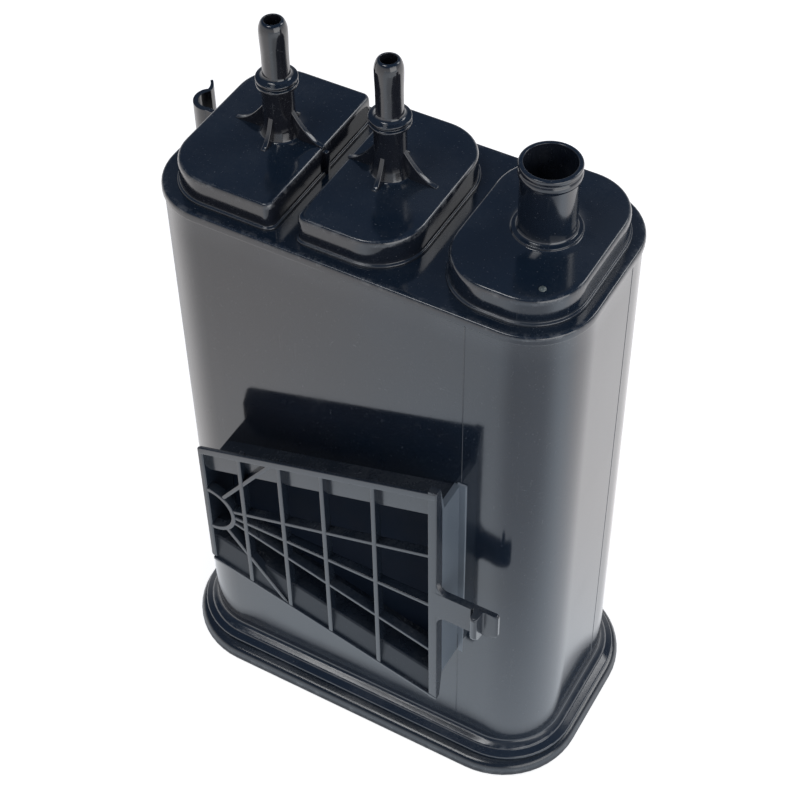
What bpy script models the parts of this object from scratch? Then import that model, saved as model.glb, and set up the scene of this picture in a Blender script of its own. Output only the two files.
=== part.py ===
"""Charcoal canister of a car's fuel vapour system.

Lengths are in metres and +Z is up. The long side runs along X and the bracket is on the
front, which faces -Y. The origin lies in the middle of the cover's flat foot pad.
"""
import math

import bmesh
import bpy

# Fits
CLEARANCE = 0.0003
SINK = 0.0006

# Housing shell, a flat box with round ends that tapers a little towards the roof
HALF_LENGTH = 0.0722
HALF_DEPTH_ROOF = 0.0347
TAPER = 0.0015
CORNER = 0.02045
ROOF_TOP = 0.2191
WALL = 0.0022
ROOF = 0.0026
LIP_PROUD = 0.0007
LIP_TALL = 0.0031
LIP_ROUND = 0.0014

# Welding flange of the housing and the cover below it
WELD_HEIGHT = 0.0065
FLANGE_THICK = 0.0045
LEDGE_OVER_X = 0.0020
LEDGE_OVER_Y = 0.0030
LEDGE_DROP = 0.0009
BAND_OVER_X = 0.0049
BAND_OVER_Y = 0.0056
BAND_DROP = 0.0028
COVER_OVER_X = 0.0069
COVER_OVER_Y = 0.0093
COVER_EDGE_LOW = 0.0010
COVER_EDGE_HIGH = 0.0036

# Cover underside and inside
COVER_RECESS = 0.0032
COVER_RIM = 0.0060
COVER_RIB = 0.0018
COVER_CELLS_X = 8
COVER_CELLS_Y = 4
FOOT_PAD_X = 0.0360
FOOT_PAD_Y = 0.0200
LOCATOR_TALL = 0.0040
LOCATOR_WALL = 0.0018

# Inner walls: the vent chamber's partition and the short baffle between the two fuel ports
PARTITION_X = 0.0216
BAFFLE_X = -0.02245
INNER_WALL = 0.0020
BAFFLE_TALL = 0.0600
PARTITION_END = 0.0160

# Domes on the roof: left edge, right edge, half depth, left and right corner radius
DOME_TALL = 0.0094
DOME_FILLET = 0.0014
DOME_STEP = 0.0008
DOME_MARGIN = 0.0044
DOME_HALF_DEPTH = HALF_DEPTH_ROOF - DOME_MARGIN
TANK_DOME = (-0.0665, -0.0267, DOME_HALF_DEPTH, 0.0153, 0.0028)
PURGE_DOME = (-0.0182, 0.0172, DOME_HALF_DEPTH, 0.0028, 0.0157)
AIR_DOME = (0.0260, 0.0684, DOME_HALF_DEPTH, 0.0174, 0.0174)
DOME_RIB = 0.0015

# Hose ports
PORT_Y = 0.0011
TANK_PORT_X = -0.0422
PURGE_PORT_X = -0.0034
AIR_PORT_X = 0.0485
NIPPLE_TALL = 0.0415
NIPPLE_RADIUS = 0.0042
NIPPLE_BEAD = 0.0044
NIPPLE_BORE = 0.0026
BEAD_START = 0.0110
BEAD_FULL = 0.0060
TIP_ROUND = 0.0016
COLLAR_TALL = 0.0200
COLLAR_RADIUS = 0.0065
COLLAR_THICK = 0.0028
NECK_RADIUS = 0.0050
NECK_FOOT = 0.0010
NECK_RIB_OFFSET = 0.0090
AIR_TALL = 0.0247
AIR_RADIUS = 0.00875
AIR_BEAD = 0.00936
AIR_BORE = 0.00787
AIR_FOOT = 0.0106
AIR_RIB_OFFSET = 0.0130
GUSSET_THICK = 0.0016
GUSSET_TALL = 0.0110
GUSSET_LONG = 0.0160
GUSSET_SHORT = 0.0105
GUSSET_SAG = 1.8

# Lattice bracket on the front: a frame with fan ribs that stands off the wall
LATTICE_LEFT = -0.0490
LATTICE_RIGHT = 0.0406
LATTICE_REACH = 0.0166
LATTICE_TOP_RIGHT = 0.1575
LATTICE_LOW_RIGHT = 0.0460
LATTICE_TOP_SLOPE = math.tan(math.radians(17.1))
LATTICE_LOW_SLOPE = -math.tan(math.radians(15.1))
FRAME_DEPTH = 0.0044
LOW_RAIL_DEPTH = 0.0026
RAIL = 0.0028
LOW_RAIL = 0.0014
SIDE_BAR = 0.0030
LEFT_BAR = 0.0015
RIB = 0.0017
RIB_DEPTH = 0.0038
UPRIGHTS = (-0.0333, -0.0176, -0.0014, 0.0177)
HUB_X = -0.0479
HUB_HEIGHT = 0.0993
HUB_RADIUS = 0.0106
FAN_ANGLES = (53.6, 16.9, 0.0, -16.4, -49.7)
FAN_RIB = 0.0015
WEB_SETBACK = 0.0030
WEB_THICK = 0.0015
WEB_TALL = 0.0136
PLATE = 0.0018
LOW_PLATE_RISE = 0.0118
PANEL = 0.0022
NOTCH = 0.0012
FOOT_STRIP = 0.0024
FOOT_STRIP_PROUD = 0.0012

# Snap hook on the bracket's right bar
HOOK_LOW = 0.0954
HOOK_TALL = 0.0123
HOOK_REACH = 0.0220
HOOK_THICK = 0.0027
HOOK_ROOT = 0.0046
CATCH_AT = 0.0134
CATCH_WIDE = 0.0030
CATCH_PROUD = 0.0035

# Hose clip on the left end, near the back
CLIP_OFF_WALL = 0.0052
CLIP_Y = 0.0141
CLIP_RADIUS = 0.0050
CLIP_THICK = 0.0018
CLIP_TIP = 0.0009
CLIP_TALL = 0.0180

# Filters, carbon beds, pressure plates and springs
FILTER_THICK = 0.0030
PLATE_HEIGHT = 0.0300
PLATE_DECK = 0.0020
PLATE_SKIRT = 0.0070
PLATE_SLOT = 0.0022
SLOTS_MAIN = 8
SLOTS_VENT = 4
SPRING_RADIUS = 0.0110
SPRING_WIRE = 0.0009
SPRING_TURNS = 4
SPRING_SEAT = 0.0030
MAIN_SPRING_SPAN = 0.0420

ROUND_STEPS = 28
CORNER_STEPS = 7

HALF_DEPTH_FOOT = HALF_DEPTH_ROOF + TAPER
WELD_TOP = WELD_HEIGHT + CLEARANCE / 2
WELD_LOW = WELD_HEIGHT - CLEARANCE / 2
FLANGE_TOP = WELD_HEIGHT + FLANGE_THICK
DOME_TOP = ROOF_TOP + DOME_TALL
ROOF_INNER = ROOF_TOP - ROOF
FRONT = -(HALF_DEPTH_ROOF + LATTICE_REACH)
IN_WALL = -(HALF_DEPTH_ROOF - WALL / 2)


def clear_scene():
    for obj in list(bpy.data.objects):
        bpy.data.objects.remove(obj, do_unlink=True)


def material(name, colour, roughness, metallic=0.0):
    made = bpy.data.materials.new(name)
    made.use_nodes = True
    shader = made.node_tree.nodes["Principled BSDF"]
    shader.inputs["Base Color"].default_value = (*colour, 1.0)
    shader.inputs["Roughness"].default_value = roughness
    shader.inputs["Metallic"].default_value = metallic
    return made


def solid(name, rings, turned=False):
    """Closed body through rings of equally many points. The ends are capped, or joined if turned."""
    mesh = bpy.data.meshes.new(name)
    shape = bmesh.new()
    loops = [[shape.verts.new(point) for point in ring] for ring in rings]
    pairs = list(zip(loops, loops[1:] + loops[:1])) if turned else list(zip(loops, loops[1:]))
    for low, high in pairs:
        for index in range(len(low)):
            after = (index + 1) % len(low)
            shape.faces.new((low[index], low[after], high[after], high[index]))
    if not turned:
        shape.faces.new(loops[0][::-1])
        shape.faces.new(loops[-1])
    bmesh.ops.recalc_face_normals(shape, faces=shape.faces)
    shape.to_mesh(mesh)
    shape.free()
    obj = bpy.data.objects.new(name, mesh)
    bpy.context.scene.collection.objects.link(obj)
    return obj


def outline(x0, x1, y0, y1, left, right):
    """Points anticlockwise round a rectangle with one radius on its left corners and one on its right."""
    corners = (
        (x1 - right, y0 + right, right, -90),
        (x1 - right, y1 - right, right, 0),
        (x0 + left, y1 - left, left, 90),
        (x0 + left, y0 + left, left, 180),
    )
    points = []
    for x, y, radius, start in corners:
        for step in range(CORNER_STEPS + 1):
            angle = math.radians(start + 90 * step / CORNER_STEPS)
            points.append((x + radius * math.cos(angle), y + radius * math.sin(angle)))
    return points


def at_height(points, z):
    return [(x, y, z) for x, y in points]


def shell_ring(z, over_x, over_y):
    """Outline of the housing at height z, this far outside its wall."""
    share = (z - FLANGE_TOP) / (ROOF_TOP - FLANGE_TOP)
    depth = HALF_DEPTH_FOOT - TAPER * min(max(share, 0.0), 1.0)
    x = HALF_LENGTH + over_x
    y = depth + over_y
    radius = CORNER + over_y
    return at_height(outline(-x, x, -y, y, radius, radius), z)


def chamber_ring(z, left, right, gap=0.0):
    """Outline of a chamber between two walls at height z, drawn in by a gap."""
    share = min(max((z - FLANGE_TOP) / (ROOF_TOP - FLANGE_TOP), 0.0), 1.0)
    y = HALF_DEPTH_FOOT - TAPER * share - WALL - gap
    end = HALF_LENGTH - WALL
    round_end = CORNER - WALL - gap
    sharp_end = INNER_WALL
    rounds = (
        round_end if left <= -end else sharp_end,
        round_end if right >= end else sharp_end,
    )
    return at_height(outline(left + gap, right - gap, -y, y, *rounds), z)


def circle(x, y, z, radius, steps=ROUND_STEPS):
    turn = 2 * math.pi / steps
    return [(x + radius * math.cos(turn * i), y + radius * math.sin(turn * i), z) for i in range(steps)]


def revolved(name, x, y, profile, steps=ROUND_STEPS):
    """Turned body about a vertical axis through x, y. The profile holds (radius, height) pairs."""
    return solid(name, [circle(x, y, z, radius, steps) for radius, z in profile])


def arc(x, y, radius, start, end, steps):
    points = []
    for step in range(steps + 1):
        angle = math.radians(start + (end - start) * step / steps)
        points.append((x + radius * math.cos(angle), y + radius * math.sin(angle)))
    return points


def slab_xz(name, profile, front, back):
    """Plate with a profile in X and Z, from one Y to another."""
    return solid(name, [[(x, y, z) for x, z in profile] for y in (front, back)])


def slab_yz(name, profile, left, right):
    return solid(name, [[(x, y, z) for y, z in profile] for x in (left, right)])


def slab_xy(name, profile, low, high):
    return solid(name, [at_height(profile, z) for z in (low, high)])


def box(name, x0, x1, y0, y1, z0, z1):
    return slab_xy(name, [(x0, y0), (x1, y0), (x1, y1), (x0, y1)], z0, z1)


def grouped(name, tools):
    """Puts the tools of one Boolean in a collection and leaves them out of the render."""
    group = bpy.data.collections.new(name)
    bpy.context.scene.collection.children.link(group)
    for tool in tools:
        bpy.context.scene.collection.objects.unlink(tool)
        group.objects.link(tool)
        tool.hide_render = True
        tool.display_type = "WIRE"
    return group


def combine(obj, operation, tools):
    change = obj.modifiers.new(operation.lower(), "BOOLEAN")
    change.operation = operation
    change.solver = "EXACT"
    change.operand_type = "COLLECTION"
    change.collection = grouped(f"{obj.name}_{operation.lower()}_{len(obj.modifiers)}", tools)
    return obj


def finish(obj, coat, sharp=32):
    """Gives a piece its material, and smooth shading up to an angle between faces in degrees."""
    bpy.context.view_layer.update()
    graph = bpy.context.evaluated_depsgraph_get()
    mesh = bpy.data.meshes.new_from_object(obj.evaluated_get(graph))
    tools = [tool for change in obj.modifiers for tool in change.collection.objects]
    obj.modifiers.clear()
    obj.data = mesh
    for tool in tools:
        bpy.data.objects.remove(tool, do_unlink=True)
    mesh.materials.clear()
    mesh.materials.append(coat)
    for polygon in mesh.polygons:
        polygon.material_index = 0
    mesh.shade_smooth()
    mesh.set_sharp_from_angle(angle=math.radians(sharp))
    return obj


def shell_body():
    """Outside of the housing from the weld seam to the roof, with its flange and roof lip."""
    ledge = FLANGE_TOP - LEDGE_DROP
    band = FLANGE_TOP - BAND_DROP
    lip_low = ROOF_TOP - LIP_TALL
    rings = [
        shell_ring(WELD_TOP, BAND_OVER_X, BAND_OVER_Y),
        shell_ring(band, BAND_OVER_X, BAND_OVER_Y),
        shell_ring(band + CLEARANCE, BAND_OVER_X - CLEARANCE, BAND_OVER_Y - CLEARANCE),
        shell_ring(ledge - CLEARANCE, LEDGE_OVER_X + CLEARANCE, LEDGE_OVER_Y + CLEARANCE),
        shell_ring(ledge, LEDGE_OVER_X, LEDGE_OVER_Y),
        shell_ring(FLANGE_TOP, LIP_PROUD, LIP_PROUD),
        shell_ring(FLANGE_TOP + LIP_PROUD, 0.0, 0.0),
        shell_ring(lip_low, 0.0, 0.0),
        shell_ring(lip_low, LIP_PROUD, LIP_PROUD),
    ]
    for out, up in arc(-LIP_ROUND, -LIP_ROUND, LIP_ROUND, 0, 90, 3):
        rings.append(shell_ring(ROOF_TOP + up, LIP_PROUD + out, LIP_PROUD + out))
    return solid("housing", rings)


def inset(dome, amount):
    x0, x1, half, left, right = dome
    corners = (max(left - amount, SINK), max(right - amount, SINK))
    return outline(x0 + amount, x1 - amount, -half + amount, half - amount, *corners)


def dome_body(name, dome):
    """Raised dome on the roof, with a small step round its foot and a rounded top edge."""
    step_top = ROOF_TOP + DOME_STEP
    rings = [
        at_height(inset(dome, -DOME_STEP), ROOF_TOP - SINK),
        at_height(inset(dome, -DOME_STEP), step_top - CLEARANCE),
        at_height(inset(dome, 0.0), step_top),
    ]
    for out, up in arc(-DOME_FILLET, -DOME_FILLET, DOME_FILLET, 0, 90, 3):
        rings.append(at_height(inset(dome, -out), DOME_TOP + up))
    return solid(name, rings)


def dome_hollow(name, dome, port_x, rib_offset):
    """Space under a dome, with two ribs left standing that hold the filter off the ceiling."""
    floor = ROOF_INNER - SINK
    ceiling = DOME_TOP - WALL
    profile = inset(dome, WALL)
    hollow = solid(name, [at_height(profile, floor), at_height(profile, ceiling)])
    ribs = []
    depth = dome[2]
    half = DOME_RIB / 2
    for side in (-1, 1):
        x = port_x + side * rib_offset
        ribs.append(box(f"{name}_rib", x - half, x + half, -depth, depth, floor - SINK, DOME_TOP))
    return combine(hollow, "DIFFERENCE", ribs)


def nipple(name, x):
    """Fuel hose port: foot ring, neck, double collar and a pipe with a bulged, rounded tip."""
    foot = DOME_TOP - SINK
    collar = DOME_TOP + COLLAR_TALL
    tip = DOME_TOP + NIPPLE_TALL
    groove = COLLAR_RADIUS - COLLAR_THICK / 4
    half = COLLAR_THICK / 2
    profile = [
        (NECK_RADIUS + NECK_FOOT, foot),
        (NECK_RADIUS + NECK_FOOT, DOME_TOP + NECK_FOOT / 2),
        (NECK_RADIUS, DOME_TOP + 1.5 * NECK_FOOT),
        (NECK_RADIUS, collar - half - NECK_FOOT / 2),
        (COLLAR_RADIUS, collar - half),
        (COLLAR_RADIUS, collar - half / 4),
        (groove, collar),
        (COLLAR_RADIUS, collar + half / 4),
        (COLLAR_RADIUS, collar + half),
        (NECK_RADIUS, collar + half + NECK_FOOT / 4),
        (NIPPLE_RADIUS, collar + half + NECK_FOOT),
        (NIPPLE_RADIUS, tip - BEAD_START),
        (NIPPLE_BEAD, tip - BEAD_FULL),
        (NIPPLE_BEAD, tip - TIP_ROUND),
        (NIPPLE_BEAD - TIP_ROUND / 4, tip - TIP_ROUND / 3),
        (NIPPLE_BEAD - 0.8 * TIP_ROUND, tip),
    ]
    return revolved(name, x, PORT_Y, profile)


def air_port():
    """Wide air port with a foot ring, a plain tube and a double bead round its mouth."""
    top = DOME_TOP + AIR_TALL
    proud = AIR_BEAD - AIR_RADIUS
    ring = AIR_FOOT - AIR_RADIUS
    profile = [
        (AIR_FOOT, DOME_TOP - SINK),
        (AIR_FOOT, DOME_TOP + ring / 3),
        (AIR_FOOT - ring / 3, DOME_TOP + ring / 2),
        (AIR_RADIUS + ring / 4, DOME_TOP + ring / 2),
        (AIR_RADIUS, DOME_TOP + ring),
        (AIR_RADIUS, top - 8 * proud),
        (AIR_BEAD, top - 7 * proud),
        (AIR_BEAD, top - 5 * proud),
        (AIR_RADIUS, top - 4 * proud),
        (AIR_RADIUS, top - 3.2 * proud),
        (AIR_BEAD, top - 2.2 * proud),
        (AIR_BEAD, top - proud),
        (AIR_RADIUS, top),
    ]
    return revolved("air_port", AIR_PORT_X, PORT_Y, profile)


def gusset(name, x, side_x, side_y, reach):
    """Triangular fin from a nipple's neck to the dome, with a sagging upper edge."""
    steps = 5
    foot = DOME_TOP - SINK
    profile = [(0.0, foot), (reach, foot)]
    for step in range(steps + 1):
        share = step / steps
        out = reach + (NECK_RADIUS * 0.8 - reach) * share
        profile.append((out, DOME_TOP + SINK / 2 + GUSSET_TALL * share**GUSSET_SAG))
    profile.append((0.0, DOME_TOP + GUSSET_TALL))
    half = GUSSET_THICK / 2
    rings = []
    for across in (-half, half):
        ring = []
        for out, z in profile:
            ring.append((x + side_x * out - side_y * across, PORT_Y + side_y * out + side_x * across, z))
        rings.append(ring)
    return solid(name, rings)


def fuel_port(name, x, right_reach, left_reach):
    fins = [
        gusset(f"{name}_fin_right", x, 1, 0, right_reach),
        gusset(f"{name}_fin_left", x, -1, 0, left_reach),
        gusset(f"{name}_fin_back", x, 0, 1, GUSSET_SHORT),
        gusset(f"{name}_fin_front", x, 0, -1, GUSSET_SHORT),
    ]
    return [nipple(name, x), *fins]


def dome_wall_rib():
    """Rib that carries the tank port's right fin down the side of its dome."""
    half = GUSSET_THICK / 2
    edge = TANK_DOME[1]
    return box(
        "dome_wall_rib", edge - SINK, edge + DOME_STEP + SINK, PORT_Y - half, PORT_Y + half,
        ROOF_TOP - SINK, DOME_TOP - DOME_FILLET,
    )


def rail_top(x):
    return LATTICE_TOP_RIGHT + (x - LATTICE_RIGHT) * LATTICE_TOP_SLOPE


def rail_low(x):
    return LATTICE_LOW_RIGHT + (x - LATTICE_RIGHT) * LATTICE_LOW_SLOPE


def sloped(x0, x1, edge, low, high):
    """Band in X and Z that follows one of the two sloping edges, between two heights from it."""
    return [(x0, edge(x0) + low), (x1, edge(x1) + low), (x1, edge(x1) + high), (x0, edge(x0) + high)]


def fan_reach(angle):
    """Length from the hub's centre along a fan rib to the middle of the bar that it ends on."""
    slope = math.tan(math.radians(angle))
    ends = [LATTICE_RIGHT - SIDE_BAR / 2 - HUB_X]
    top = rail_top(HUB_X) - RAIL / 2 - HUB_HEIGHT
    low = rail_low(HUB_X) + LOW_RAIL / 2 - HUB_HEIGHT
    if slope > LATTICE_TOP_SLOPE:
        ends.append(top / (slope - LATTICE_TOP_SLOPE))
    if slope < LATTICE_LOW_SLOPE:
        ends.append(low / (slope - LATTICE_LOW_SLOPE))
    return min(ends) / math.cos(math.radians(angle))


def fan_rib(index, angle):
    """Straight rib that starts inside the hub ring and runs out at an angle."""
    turn = math.radians(angle)
    along = (math.cos(turn), math.sin(turn))
    across = (-along[1] * FAN_RIB / 2, along[0] * FAN_RIB / 2)
    ends = (HUB_RADIUS - FAN_RIB / 2, fan_reach(angle))
    profile = []
    for reach, side in ((ends[0], -1), (ends[1], -1), (ends[1], 1), (ends[0], 1)):
        profile.append(
            (HUB_X + along[0] * reach + across[0] * side, HUB_HEIGHT + along[1] * reach + across[1] * side)
        )
    return slab_xz(f"fan_rib_{index}", profile, FRONT + CLEARANCE, FRONT + RIB_DEPTH)


def lattice():
    """Frame, uprights, half ring and fan ribs, all on the bracket's front plane."""
    left, right = LATTICE_LEFT, LATTICE_RIGHT
    deep = FRONT + FRAME_DEPTH
    parts = [
        slab_xz("top_rail", sloped(left, right, rail_top, -RAIL, 0.0), FRONT, deep),
        slab_xz("low_rail", sloped(left, right, rail_low, 0.0, LOW_RAIL), FRONT, FRONT + LOW_RAIL_DEPTH),
    ]
    side = [(left, rail_low(left)), (left + LEFT_BAR, rail_low(left + LEFT_BAR))]
    side += [(left + LEFT_BAR, rail_top(left + LEFT_BAR)), (left, rail_top(left))]
    parts.append(slab_xz("left_bar", side, FRONT, deep))
    low_end = rail_low(right)
    plate_top = rail_top(right) - WEB_TALL + PLATE
    bar = [
        (FRONT, low_end),
        (FRONT + LOW_RAIL_DEPTH, low_end),
        (deep, low_end + LOW_PLATE_RISE),
        (deep, plate_top),
        (deep - NOTCH, rail_top(right)),
        (FRONT, rail_top(right)),
    ]
    parts.append(slab_yz("right_bar", bar, right - SIDE_BAR, right))
    for index, x in enumerate(UPRIGHTS):
        low, high = rail_low(x) + LOW_RAIL / 2, rail_top(x) - RAIL / 2
        profile = [(x - RIB / 2, low), (x + RIB / 2, low), (x + RIB / 2, high), (x - RIB / 2, high)]
        back = FRONT + RIB_DEPTH + CLEARANCE
        parts.append(slab_xz(f"upright_{index}", profile, FRONT + CLEARANCE / 2, back))
    ring = arc(HUB_X, HUB_HEIGHT, HUB_RADIUS, -90, 90, 12)
    ring += arc(HUB_X, HUB_HEIGHT, HUB_RADIUS - RIB, 90, -90, 12)
    parts.append(slab_xz("hub_ring", ring, FRONT + CLEARANCE / 3, FRONT + RIB_DEPTH - CLEARANCE))
    parts += [fan_rib(index, angle) for index, angle in enumerate(FAN_ANGLES)]
    return parts


def low_web(left, right):
    """Web that closes the box below its low plate, leaning back from the low rail up to the plate."""
    backs = (FRONT + LOW_RAIL_DEPTH - SINK / 3, FRONT + FRAME_DEPTH - SINK)
    rises = (LOW_RAIL / 2, LOW_PLATE_RISE - PLATE / 2)
    rings = []
    for x in (left, right):
        low, high = (rail_low(x) + rise for rise in rises)
        rings.append([
            (x, backs[0] - WEB_THICK, low), (x, backs[0], low), (x, backs[1], high), (x, backs[1] - WEB_THICK, high)
        ])
    return solid("low_web", rings)


def bracket_box():
    """Web, plates and side walls that carry the lattice off the housing's front wall."""
    left, right = LATTICE_LEFT, LATTICE_RIGHT
    web_front = FRONT + WEB_SETBACK
    top_edge = -WEB_TALL + PLATE
    plate_top = rail_top(right) + top_edge
    plate_low = rail_low(right) + LOW_PLATE_RISE
    strip_face = -HALF_DEPTH_ROOF - FOOT_STRIP_PROUD - SINK
    deep = FRONT + FRAME_DEPTH
    in_panel = right - PANEL / 2
    web = sloped(left, in_panel, rail_top, -WEB_TALL, -RAIL / 2)
    top_plate = sloped(left, in_panel, rail_top, -WEB_TALL, top_edge)
    low_plate = sloped(left, in_panel, rail_low, LOW_PLATE_RISE - PLATE, LOW_PLATE_RISE)
    parts = [
        slab_xz("web", web, web_front, web_front + WEB_THICK),
        slab_xz("top_plate", top_plate, web_front, IN_WALL),
        slab_xz("low_plate", low_plate, deep - WEB_THICK - SINK / 2, IN_WALL),
        low_web(left + SINK, in_panel),
    ]
    end_low = rail_low(left) + LOW_PLATE_RISE - PLATE
    end_high = rail_top(left) + top_edge
    end = [(left, end_low), (left + LEFT_BAR, end_low), (left + LEFT_BAR, end_high), (left, end_high)]
    parts.append(slab_xz("left_wall", end, FRONT + SINK, IN_WALL))
    panel = [
        (deep - WEB_THICK, plate_low - SINK),
        (IN_WALL, plate_low - SINK),
        (IN_WALL, plate_top + SINK),
        (deep + NOTCH, plate_top + SINK),
        (deep - NOTCH, rail_top(right) - SINK),
        (deep - WEB_THICK, rail_top(right) - SINK),
    ]
    parts.append(slab_yz("right_panel", panel, right - PANEL, right - SINK / 4))
    strip_ends = (plate_low - 2 * SINK, plate_top + 2 * SINK)
    parts.append(box("foot_strip", in_panel, right + FOOT_STRIP, strip_face, IN_WALL, *strip_ends))
    return parts


def snap_hook():
    """Flat arm out of the right bar, with rounded roots, a catch nose and a set-back end tab."""
    right = LATTICE_RIGHT
    back = FRONT + HOOK_THICK
    nose = right + CATCH_AT
    end = right + HOOK_REACH
    low, high = HOOK_LOW, HOOK_LOW + HOOK_TALL
    plan = [
        (right - SIDE_BAR / 2, FRONT + CLEARANCE / 4),
        (nose, FRONT + CLEARANCE / 4),
        (nose + CATCH_WIDE * 0.2, FRONT - CATCH_PROUD),
        (nose + CATCH_WIDE, FRONT - CATCH_PROUD),
        (nose + CATCH_WIDE * 1.2, FRONT + CATCH_WIDE * 0.25),
        (end - HOOK_THICK * 0.3, FRONT + CATCH_WIDE * 0.35),
        (end, FRONT + CATCH_WIDE * 0.6),
        (end, back),
        (right - SIDE_BAR / 2, back),
    ]
    root = [(right - SIDE_BAR / 2, low - HOOK_ROOT)]
    root += arc(right + HOOK_ROOT, low - HOOK_ROOT, HOOK_ROOT, 180, 90, 5)
    root += arc(right + HOOK_ROOT, high + HOOK_ROOT, HOOK_ROOT, -90, -180, 5)
    root.append((right - SIDE_BAR / 2, high + HOOK_ROOT))
    return [
        slab_xy("hook_arm", plan, low, high),
        slab_xz("hook_root", root, FRONT + CLEARANCE / 2, back - CLEARANCE / 2),
    ]


def hose_clip():
    """Open C that grips a hose, drawn as a band of changing thickness about its middle line."""
    x = -(HALF_LENGTH + CLIP_OFF_WALL)
    middle = [(-HALF_LENGTH + WALL / 2, CLIP_Y - CLIP_RADIUS)]
    middle += arc(x, CLIP_Y, CLIP_RADIUS, 290, 130, 14)
    end_x, end_y = middle[-1]
    for step in (1, 2, 3):
        share = step / 3
        middle.append((end_x - CLIP_RADIUS * 0.45 * share**2, end_y + CLIP_RADIUS * 0.95 * share))
    count = len(middle) - 1
    left, right = [], []
    for index, (px, py) in enumerate(middle):
        before, after = middle[max(index - 1, 0)], middle[min(index + 1, count)]
        dx, dy = after[0] - before[0], after[1] - before[1]
        size = math.hypot(dx, dy)
        taper = max(0.0, (index - count + 5) / 5)
        half = (CLIP_THICK + (CLIP_TIP - CLIP_THICK) * taper) / 2
        left.append((px - dy / size * half, py + dx / size * half))
        right.append((px + dy / size * half, py - dx / size * half))
    return slab_xy("hose_clip", left + right[::-1], ROOF_TOP - CLIP_TALL, ROOF_TOP - CLEARANCE)


def chambers():
    """Hollows of the housing: two chambers, the spaces under the domes and the port bores."""
    end = HALF_LENGTH - WALL
    low = WELD_TOP - WALL
    half_wall = INNER_WALL / 2
    plenum = solid("plenum", [chamber_ring(z, -end, end) for z in (low, PARTITION_END)])
    heights = (PARTITION_END - SINK, ROOF_INNER)
    main = solid("main_hollow", [chamber_ring(z, -end, PARTITION_X - half_wall) for z in heights])
    vent = solid("vent_hollow", [chamber_ring(z, PARTITION_X + half_wall, end) for z in heights])
    baffle = box(
        "baffle", BAFFLE_X - half_wall, BAFFLE_X + half_wall, -HALF_DEPTH_FOOT, HALF_DEPTH_FOOT,
        ROOF_INNER - BAFFLE_TALL, ROOF_TOP,
    )
    combine(main, "DIFFERENCE", [baffle])
    made = [
        plenum,
        main,
        vent,
        dome_hollow("tank_space", TANK_DOME, TANK_PORT_X, NECK_RIB_OFFSET),
        dome_hollow("purge_space", PURGE_DOME, PURGE_PORT_X, NECK_RIB_OFFSET),
        dome_hollow("air_space", AIR_DOME, AIR_PORT_X, AIR_RIB_OFFSET),
    ]
    start = DOME_TOP - WALL - SINK
    for name, x, radius, tall in (
        ("tank_bore", TANK_PORT_X, NIPPLE_BORE, NIPPLE_TALL),
        ("purge_bore", PURGE_PORT_X, NIPPLE_BORE, NIPPLE_TALL),
        ("air_bore", AIR_PORT_X, AIR_BORE, AIR_TALL),
    ):
        made.append(revolved(name, x, PORT_Y, [(radius, start), (radius, DOME_TOP + tall + SINK)]))
    return made


def housing(coat):
    """One moulding: shell, domes, ports, bracket, hook, hose clip and inner walls."""
    body = shell_body()
    tank_edge = TANK_DOME[1] - TANK_PORT_X
    purge_edge = PURGE_PORT_X - PURGE_DOME[0]
    additions = [
        dome_body("tank_dome", TANK_DOME),
        dome_body("purge_dome", PURGE_DOME),
        dome_body("air_dome", AIR_DOME),
        *fuel_port("tank_port", TANK_PORT_X, tank_edge, GUSSET_LONG),
        *fuel_port("purge_port", PURGE_PORT_X, GUSSET_LONG, purge_edge),
        air_port(),
        dome_wall_rib(),
        *lattice(),
        *bracket_box(),
        *snap_hook(),
        hose_clip(),
    ]
    combine(body, "UNION", additions)
    combine(body, "DIFFERENCE", chambers())
    return finish(body, coat)


def cover_ring(z, inward):
    x = HALF_LENGTH + COVER_OVER_X - inward
    y = HALF_DEPTH_FOOT + COVER_OVER_Y - inward
    radius = CORNER + COVER_OVER_Y - inward
    return at_height(outline(-x, x, -y, y, radius, radius), z)


def cover_recess():
    """Recess under the cover, cut into cells by ribs and kept off the flat pad in the middle."""
    recess = solid("cover_recess", [cover_ring(z, COVER_RIM) for z in (-SINK, COVER_RECESS)])
    half_x = HALF_LENGTH + COVER_OVER_X - COVER_RIM
    half_y = HALF_DEPTH_FOOT + COVER_OVER_Y - COVER_RIM
    half = COVER_RIB / 2
    low, high = -2 * SINK, COVER_RECESS + SINK
    kept = []
    for index in range(1, COVER_CELLS_X):
        x = -half_x + 2 * half_x * index / COVER_CELLS_X
        kept.append(box(f"cross_rib_{index}", x - half, x + half, -half_y - SINK, half_y + SINK, low, high))
    for index in range(1, COVER_CELLS_Y):
        y = -half_y + 2 * half_y * index / COVER_CELLS_Y
        kept.append(box(f"long_rib_{index}", -half_x - SINK, half_x + SINK, y - half, y + half, low, high))
    pad_x, pad_y = FOOT_PAD_X / 2, FOOT_PAD_Y / 2
    kept.append(box("foot_pad", -pad_x, pad_x, -pad_y, pad_y, low, high))
    return combine(recess, "DIFFERENCE", kept)


def spring_places():
    """Name and X place of each spring."""
    middle = (PARTITION_X - INNER_WALL / 2 - HALF_LENGTH + WALL) / 2
    vent = (PARTITION_X + INNER_WALL / 2 + HALF_LENGTH - WALL) / 2
    return (
        ("main_spring_left", middle - MAIN_SPRING_SPAN / 2),
        ("main_spring_right", middle + MAIN_SPRING_SPAN / 2),
        ("vent_spring", vent),
    )


def seat(name, x, low, high):
    """Round boss that a spring fits over."""
    radius = SPRING_RADIUS - SPRING_WIRE - CLEARANCE
    return revolved(name, x, 0.0, [(radius, low), (radius, high)], 20)


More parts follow.
